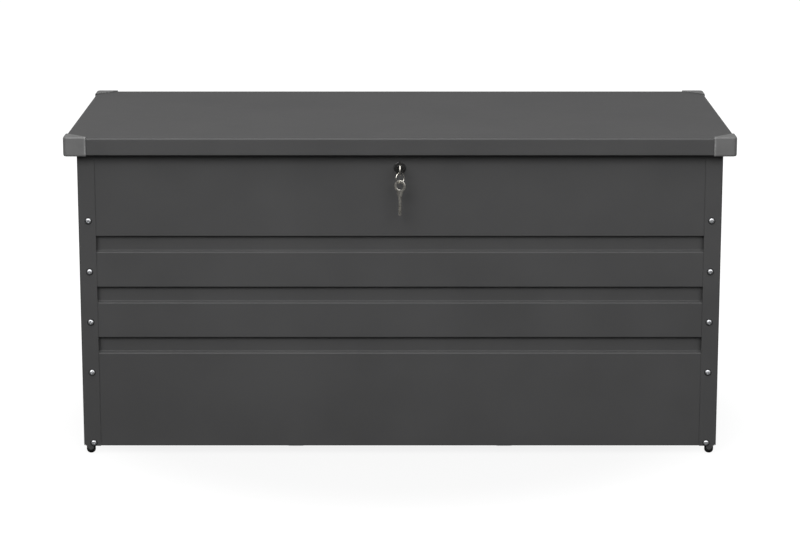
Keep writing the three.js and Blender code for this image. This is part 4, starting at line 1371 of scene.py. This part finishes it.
def key_solid():
    """A flat key as (along, across, through), from the middle of its bow.

    The bow is a turned ring. Neck and blade are a grid whose first row is an arc inside the bow,
    whose edges taper to the blade, and whose lower edge has cuts like tents of a given depth.
    """
    bow, hole, thick = 12 * MM, 7 * MM, 1 * MM
    ring = ring_solid([(hole, -thick), (bow, -thick), (bow, thick), (hole, thick)], 0.4 * MM, 56)
    neck_end, tip, half, tip_half, tip_start = np.array([23, 59, 2.9, 1.0, 57]) * MM
    shoulder = math.radians(38)
    root_x, root_y = bow * math.cos(shoulder), bow * math.sin(shoulder)
    cut_pitch, cut_half = 4.8 * MM, 1.7 * MM
    cut_depths = np.array([0.9, 1.5, 0.7, 1.3, 1.0]) * MM
    cuts = neck_end + 6 * MM + cut_pitch * np.arange(len(cut_depths))
    rows = np.concatenate([np.linspace(bow + 1 * MM, neck_end, 6), cuts - cut_half, cuts, cuts + cut_half,
                           [tip_start, tip - 0.8 * MM, tip]])
    rows = np.unique(np.round(rows, 6))
    share = np.array([-1.0, -0.93, -0.30, -0.22, 0.30, 0.38, 0.93, 1.0])
    inside, mill, edge_ease = 9.6 * MM, 0.45 * MM, 0.22 * MM
    first = np.sqrt(inside**2 - (share * root_y) ** 2)
    along = np.concatenate([first[None, :], np.broadcast_to(rows[:, None], (len(rows), len(share)))])
    width = np.interp(along, [root_x, neck_end, tip_start, tip], [root_y, half, half, tip_half])
    depth = np.max(cut_depths * np.clip(1 - abs(along[..., None] - cuts) / cut_half, 0, 1), -1)
    across = -width + depth + (2 * width - depth) * (share + 1) / 2
    milled = (abs(share - 0.04) < 0.3)[None, :] * (along > neck_end + 2 * MM)
    surface = 0.96 * thick - milled * mill - np.where(abs(share) == 1, edge_ease, 0)[None, :]
    outer = np.stack([along, across, surface], -1)
    inner = np.stack([along, across, -surface], -1)
    return joined(ring, shell(outer, inner))


def build_keys():
    """The key in the lock and the spare one hanging from the ring by its bow."""
    ring_place, _ = joint("ring_swing")
    lock, _ = joint("lock_turn")
    key = key_solid()
    bow = np.array([0, ring_place[1], lock[2]])
    make_piece("key_cut", placed(key, bow, Y, Z, X), None, "nickel", ["key"], sharp=40)
    turn, bow_radius = math.radians(-20), 12 * MM
    across = np.array([math.cos(turn), math.sin(turn), 0])
    hole = np.array([0, ring_place[1], extent("spare_key", Z)[1] - bow_radius])
    make_piece("spare_key_cut", placed(key, hole, -Z, across, np.cross(-Z, across)), None, "nickel",
               ["spare_key"], sharp=40)


def build_split_ring():
    """The split ring: a wire along two turns side by side, which steps across once."""
    low, high = limits("key_ring")
    wire, step, play = 0.48 * MM, 0.46 * MM, 0.9 * MM
    radius = (high[2] - low[2]) / 2 - play
    middle = (low + high) / 2
    across = np.array([math.sqrt(0.5), math.sqrt(0.5), 0])
    through = np.cross(across, Z)
    start = math.radians(200)
    turn = np.linspace(0, 4 * math.pi, 161)
    blend = np.clip((turn - 2 * math.pi + 0.35) / 0.7, 0, 1)
    shift = step * (2 * blend**2 * (3 - 2 * blend) - 1)
    out = np.cos(turn + start)[:, None] * across + np.sin(turn + start)[:, None] * Z
    path = middle + radius * out + shift[:, None] * through
    path = np.concatenate([path[:1], path, path[-1:]])
    out = np.concatenate([out[:1], out, out[-1:]])
    thick = np.full(len(path), wire)
    thick[[0, -1]] = 0
    points = round_section(path, out, np.broadcast_to(through, out.shape), thick, 12)
    make_piece("key_ring_wire", patch(points, wrap_columns=True), None, "nickel", ["key_ring"])


# ---------------------------------------------------------------- fasteners


def screw_places(outward, across, reach, reach_across):
    """Where one wall's screws sit on the outer faces of the posts at both its ends."""
    size = sizes()["fastener"]
    count = sizes()["groove"].count + 1
    spots = [(reach_across - size.inset, size.lowest + index * size.pitch) for index in range(count)]
    spots.append((reach_across - size.foot_inset, size.foot_height))
    return np.array([
        outward * reach + across * sign * along + Z * height for sign in (-1, 1) for along, height in spots
    ])


def build_screws(name, outward, across, wall_inside):
    """One wall's screws, each on a dark rubber ring that stands mostly for painted shadow round its head,
    and their nuts inside the box.
    """
    size = sizes()["fastener"]
    _, reach = extent("corner_post_rear_right", abs(outward))
    _, reach_across = extent("corner_post_rear_right", across)
    places = screw_places(outward, across, reach, reach_across)
    head = cross_head(size.head, size.head_height)
    lifted = places + outward * size.shade_washer_height
    axes = across, np.cross(outward, across), outward
    make_piece(f"{name}_screws", repeated(head, lifted, *axes), "box", "zinc", sharp=40)
    # A dark rubber ring under each head, mostly a painted shadow round it.
    washer = lathe(soft_cylinder(size.washer, 0, size.shade_washer_height, 0.4 * MM, 3), 28)
    make_piece(f"{name}_washers", repeated(washer, places, *axes), "box", "rubber")
    nut_height, nut_reach, stud = 3.6 * MM, 4.6 * MM, 2.3 * MM
    nut = joined(hexagon(nut_reach, 0, nut_height, 24),
                 lathe(soft_cylinder(stud, 1 * MM, nut_height + 1.6 * MM, 0.4 * MM, 2), 16))
    inside = places - outward * (reach - wall_inside)
    axes = across, np.cross(-outward, across), -outward
    make_piece(f"{name}_nuts", repeated(nut, inside, *axes), "box", "zinc")


def build_small_rivets():
    """Rivets of the hinges' leaves and of the struts' body brackets."""
    sheets = sizes()["sheet"]
    sheet = sheets.post_sheet
    head = rivet_head(4.0 * MM, 1.6 * MM)
    wall_rear, lid_rear = extent("rear_panel", Y)[1], extent("lid_panel", Y)[1]
    spread, below_top = 28 * MM, 8 * MM
    side_heights, middle_heights = (10 * MM, 26 * MM), (18 * MM,)
    body_places, lid_outside, lid_inside = [], [], []
    for name in LEFT_CENTRE_RIGHT:
        low, high = limits(f"hinge_body_leaf_{name}")
        _, lid_high = limits(f"hinge_lid_leaf_{name}")
        middle, plate_face, lid_height = (low[0] + high[0]) / 2, low[1] + sheet, lid_high[2] - below_top
        for side in (-spread, 0.0, spread):
            heights = side_heights if side else middle_heights
            body_places += [(middle + side, plate_face, low[2] + height) for height in heights]
            if side:
                lid_outside.append((middle + side, lid_rear, lid_height))
                lid_inside.append((middle + side, lid_high[1] - sheet, lid_height))
    make_piece("hinge_body_rivets", repeated(head, body_places, X, -Z, Y), "box", "zinc")
    tails = [(x, wall_rear - sheets.wall_sheet, z) for x, _, z in body_places]
    make_piece("hinge_body_rivet_tails", repeated(head, tails, X, Z, -Y), "box", "zinc")
    lid_rivets = joined(repeated(head, lid_outside, X, -Z, Y), repeated(head, lid_inside, X, Z, -Y))
    make_piece("hinge_lid_rivets", lid_rivets, "lid", "zinc")
    from_side, from_end = 6.5 * MM, 8 * MM
    for side, sign in LEFT_RIGHT:
        node = f"strut_body_bracket_{side}"
        low, high = limits(node)
        flange_x = extent(node, sign * X)[1] - sheet
        wall_x = extent(f"side_panel_{side}", sign * X)[1]
        spots = [(y, z) for y in (low[1] + from_side, high[1] - from_side)
                 for z in (low[2] + from_end, high[2] - from_end)]
        inside = [(sign * flange_x, y, z) for y, z in spots]
        outside = [(sign * wall_x, y, z) for y, z in spots]
        rivets = joined(repeated(head, inside, Y, sign * -Z, -sign * X),
                        repeated(head, outside, Y, sign * Z, sign * X))
        make_piece(f"strut_bracket_rivets_{side}", rivets, "box", "zinc")


# ---------------------------------------------------------------- stage


def area_light(name, place, target, width, height, watts):
    """A soft rectangular light that looks at a point."""
    light = bpy.data.lights.new(name, "AREA")
    light.shape = "RECTANGLE"
    light.size, light.size_y, light.energy = width, height, watts
    lamp = bpy.data.objects.new(name, light)
    bpy.context.scene.collection.objects.link(lamp)
    direction = np.array(target) - np.array(place)
    lamp.location = place
    lamp.rotation_euler = Vector(direction).to_track_quat("-Z", "Y").to_euler()


def build_floor_stage():
    """A pale floor with a glow that only the camera sees; the glow is dimmer near the box, a painted shadow,
    and the floor's own grey catches a faint real shadow.
    """
    stage = sizes()["stage"]
    reach = 30.0
    x, y = np.meshgrid(np.linspace(-reach, reach, 3), np.linspace(-reach, reach, 3))
    points, faces = patch(np.stack([x, y, 0 * x], -1))
    mesh = bpy.data.meshes.new("stage_floor")
    mesh.from_pydata(points.tolist(), [], faces.tolist())
    floor = bpy.data.objects.new("stage_floor", mesh)
    bpy.context.scene.collection.objects.link(floor)
    material = bpy.data.materials.new("stage_floor")
    material.use_nodes = True
    graph = NodeGraph(material.node_tree)
    shader = material.node_tree.nodes["Principled BSDF"]
    shader.inputs["Base Color"].default_value = shaded((stage.floor_grey,) * 3, 1)
    shader.inputs["Roughness"].default_value = 0.9
    shader.inputs["Specular IOR Level"].default_value = 0.0
    far = graph.node("ShaderNodeVectorMath", operation="LENGTH")
    graph.put(far.inputs[0], graph.node("ShaderNodeTexCoord").outputs["Object"])
    # The glow dims towards the box: a painted shadow on the floor.
    glow_with_painted_shadow = graph.ramp(
        far.outputs["Value"], stage.glow_start, stage.glow_end, stage.painted_shadow_glow, stage.glow_far
    )
    seen = graph.node("ShaderNodeLightPath").outputs["Is Camera Ray"]
    glow = graph.node("ShaderNodeEmission")
    graph.put(glow.inputs["Strength"], graph.math("MULTIPLY", seen, glow_with_painted_shadow))
    both = graph.node("ShaderNodeAddShader")
    graph.put(both.inputs[0], shader.outputs[0])
    graph.put(both.inputs[1], glow.outputs[0])
    graph.put(material.node_tree.nodes["Material Output"].inputs["Surface"], both.outputs[0])
    mesh.materials.append(material)


def build_world():
    """White backdrop for the camera and a dimmer, even grey for the light it gives."""
    stage = sizes()["stage"]
    world = bpy.data.worlds.new("studio")
    bpy.context.scene.world = world
    world.use_nodes = True
    graph = NodeGraph(world.node_tree)
    world.node_tree.nodes.clear()
    seen, given = (graph.node("ShaderNodeBackground") for _ in range(2))
    for shader, strength in ((seen, stage.backdrop), (given, stage.ambient)):
        shader.inputs["Color"].default_value = WHITE
        shader.inputs["Strength"].default_value = strength
    mix = graph.node("ShaderNodeMixShader")
    graph.put(mix.inputs[0], graph.node("ShaderNodeLightPath").outputs["Is Camera Ray"])
    graph.put(mix.inputs[1], given.outputs[0])
    graph.put(mix.inputs[2], seen.outputs[0])
    graph.put(graph.node("ShaderNodeOutputWorld").inputs["Surface"], mix.outputs[0])


def build_camera():
    """A long lens in front of the box, a little above it, looking slightly down."""
    stage = sizes()["stage"]
    data = bpy.data.cameras.new("camera")
    data.lens = stage.focal
    data.clip_end = 100.0
    camera = bpy.data.objects.new("camera", data)
    bpy.context.scene.collection.objects.link(camera)
    camera.location = (0.0, -stage.camera_back, stage.camera_height)
    camera.rotation_euler = (math.pi / 2 - stage.camera_tilt, 0.0, 0.0)
    bpy.context.scene.camera = camera


# ---------------------------------------------------------------- operators


class BuildWalls(bpy.types.Operator):
    """Builds the four grooved walls"""

    bl_idname = "deckbox.walls"
    bl_label = "Walls"
    bl_options = {"REGISTER", "UNDO"}

    def execute(self, context):
        for wall, _, across, outward in WALLS:
            build_wall(wall, across, outward)
        return {"FINISHED"}


class BuildPosts(bpy.types.Operator):
    """Builds the four corner posts"""

    bl_idname = "deckbox.posts"
    bl_label = "Corner posts"
    bl_options = {"REGISTER", "UNDO"}

    def execute(self, context):
        for corner, side_x, side_y in CORNERS:
            build_post(f"corner_post_{corner}", side_x, side_y)
        return {"FINISHED"}


class BuildRails(bpy.types.Operator):
    """Builds the four top rails"""

    bl_idname = "deckbox.rails"
    bl_label = "Top rails"
    bl_options = {"REGISTER", "UNDO"}

    def execute(self, context):
        for wall, rail, across, outward in WALLS:
            build_rail(rail, wall, across, outward)
        return {"FINISHED"}


class BuildFloor(bpy.types.Operator):
    """Builds the floor sheet and the two ribs under it"""

    bl_idname = "deckbox.floor"
    bl_label = "Floor and ribs"
    bl_options = {"REGISTER", "UNDO"}

    def execute(self, context):
        build_floor()
        for side, _ in LEFT_RIGHT:
            build_hat(f"floor_rib_{side}", "zinc")
        return {"FINISHED"}


class BuildFeet(bpy.types.Operator):
    """Builds the four rubber feet"""

    bl_idname = "deckbox.feet"
    bl_label = "Feet"
    bl_options = {"REGISTER", "UNDO"}

    def execute(self, context):
        for corner, _, _ in CORNERS:
            build_foot(f"foot_{corner}")
        return {"FINISHED"}


class BuildLid(bpy.types.Operator):
    """Builds the lid sheet"""

    bl_idname = "deckbox.lid"
    bl_label = "Lid"
    bl_options = {"REGISTER", "UNDO"}

    def execute(self, context):
        build_lid()
        return {"FINISHED"}


class BuildCaps(bpy.types.Operator):
    """Builds the lid's four corner caps"""

    bl_idname = "deckbox.caps"
    bl_label = "Lid corner caps"
    bl_options = {"REGISTER", "UNDO"}

    def execute(self, context):
        for corner, side_x, side_y in CORNERS:
            build_cap(f"lid_cap_{corner}", side_x, side_y)
        return {"FINISHED"}


class BuildStiffeners(bpy.types.Operator):
    """Builds the lid's stiffeners, their weld marks and the buffers"""

    bl_idname = "deckbox.stiffeners"
    bl_label = "Lid stiffeners and buffers"
    bl_options = {"REGISTER", "UNDO"}

    def execute(self, context):
        names = [f"lid_stiffener_{name}" for name in LEFT_CENTRE_RIGHT]
        for name in names:
            build_hat(name, "sheet_metal")
        build_spot_welds(names)
        for side, _ in LEFT_RIGHT:
            build_bumper(f"lid_bumper_{side}")
        return {"FINISHED"}


class BuildHinges(bpy.types.Operator):
    """Builds the three hinges"""

    bl_idname = "deckbox.hinges"
    bl_label = "Hinges"
    bl_options = {"REGISTER", "UNDO"}

    def execute(self, context):
        for name in LEFT_CENTRE_RIGHT:
            build_hinge(name)
        return {"FINISHED"}


class BuildStruts(bpy.types.Operator):
    """Builds both gas struts and their brackets"""

    bl_idname = "deckbox.struts"
    bl_label = "Gas struts"
    bl_options = {"REGISTER", "UNDO"}

    def execute(self, context):
        for side, sign in LEFT_RIGHT:
            build_strut_brackets(side, sign)
            build_strut(side, sign)
        return {"FINISHED"}


class BuildLock(bpy.types.Operator):
    """Builds the cam lock and its strike"""

    bl_idname = "deckbox.lock"
    bl_label = "Lock and strike"
    bl_options = {"REGISTER", "UNDO"}

    def execute(self, context):
        build_lock()
        build_strike()
        return {"FINISHED"}


class BuildKeys(bpy.types.Operator):
    """Builds the two keys and the split ring"""

    bl_idname = "deckbox.keys"
    bl_label = "Keys and ring"
    bl_options = {"REGISTER", "UNDO"}

    def execute(self, context):
        build_keys()
        build_split_ring()
        return {"FINISHED"}


class BuildFasteners(bpy.types.Operator):
    """Builds the screws, the dark rings of painted shadow under their heads, the nuts and the rivets"""

    bl_idname = "deckbox.fasteners"
    bl_label = "Screws and rivets"
    bl_options = {"REGISTER", "UNDO"}

    def execute(self, context):
        wall_inside = extent("rear_panel", Y)[1] - sizes()["sheet"].wall_sheet
        for end, sign in FRONT_REAR:
            build_screws(end, sign * Y, X, wall_inside)
        build_small_rivets()
        return {"FINISHED"}


class BuildStage(bpy.types.Operator):
    """Builds the floor, lights, backdrop and camera"""

    bl_idname = "deckbox.stage"
    bl_label = "Stage"
    bl_options = {"REGISTER", "UNDO"}

    def execute(self, context):
        bpy.context.scene.view_settings.view_transform = "Standard"
        build_floor_stage()
        build_world()
        for light in LIGHTS:
            area_light(*light)
        build_camera()
        return {"FINISHED"}


OPERATORS = (
    BuildWalls, BuildPosts, BuildRails, BuildFloor, BuildFeet, BuildLid, BuildCaps, BuildStiffeners,
    BuildHinges, BuildStruts, BuildLock, BuildKeys, BuildFasteners, BuildStage,
)


class DeckBoxPanel(bpy.types.Panel):
    """Lists the operators that build the box"""

    bl_idname = "VIEW3D_PT_deckbox"
    bl_label = "Deck storage box"
    bl_space_type = "VIEW_3D"
    bl_region_type = "UI"
    bl_category = "Deck box"

    def draw(self, context):
        for operator in OPERATORS:
            self.layout.operator(operator.bl_idname, text=operator.bl_label)


CLASSES = (*SIZE_GROUPS.values(), *OPERATORS, DeckBoxPanel)


def register():
    """Registers the classes and hangs the size groups on the scene."""
    for kind in CLASSES:
        bpy.utils.register_class(kind)
    for name, group in SIZE_GROUPS.items():
        setattr(bpy.types.Scene, name, PointerProperty(type=group))


def unregister():
    """Takes back what register() did."""
    for name in SIZE_GROUPS:
        delattr(bpy.types.Scene, name)
    for kind in reversed(CLASSES):
        bpy.utils.unregister_class(kind)


def main():
    register()
    for operator in OPERATORS:
        category, name = operator.bl_idname.split(".")
        getattr(getattr(bpy.ops, category), name)()


if __name__ == "__main__":
    main()
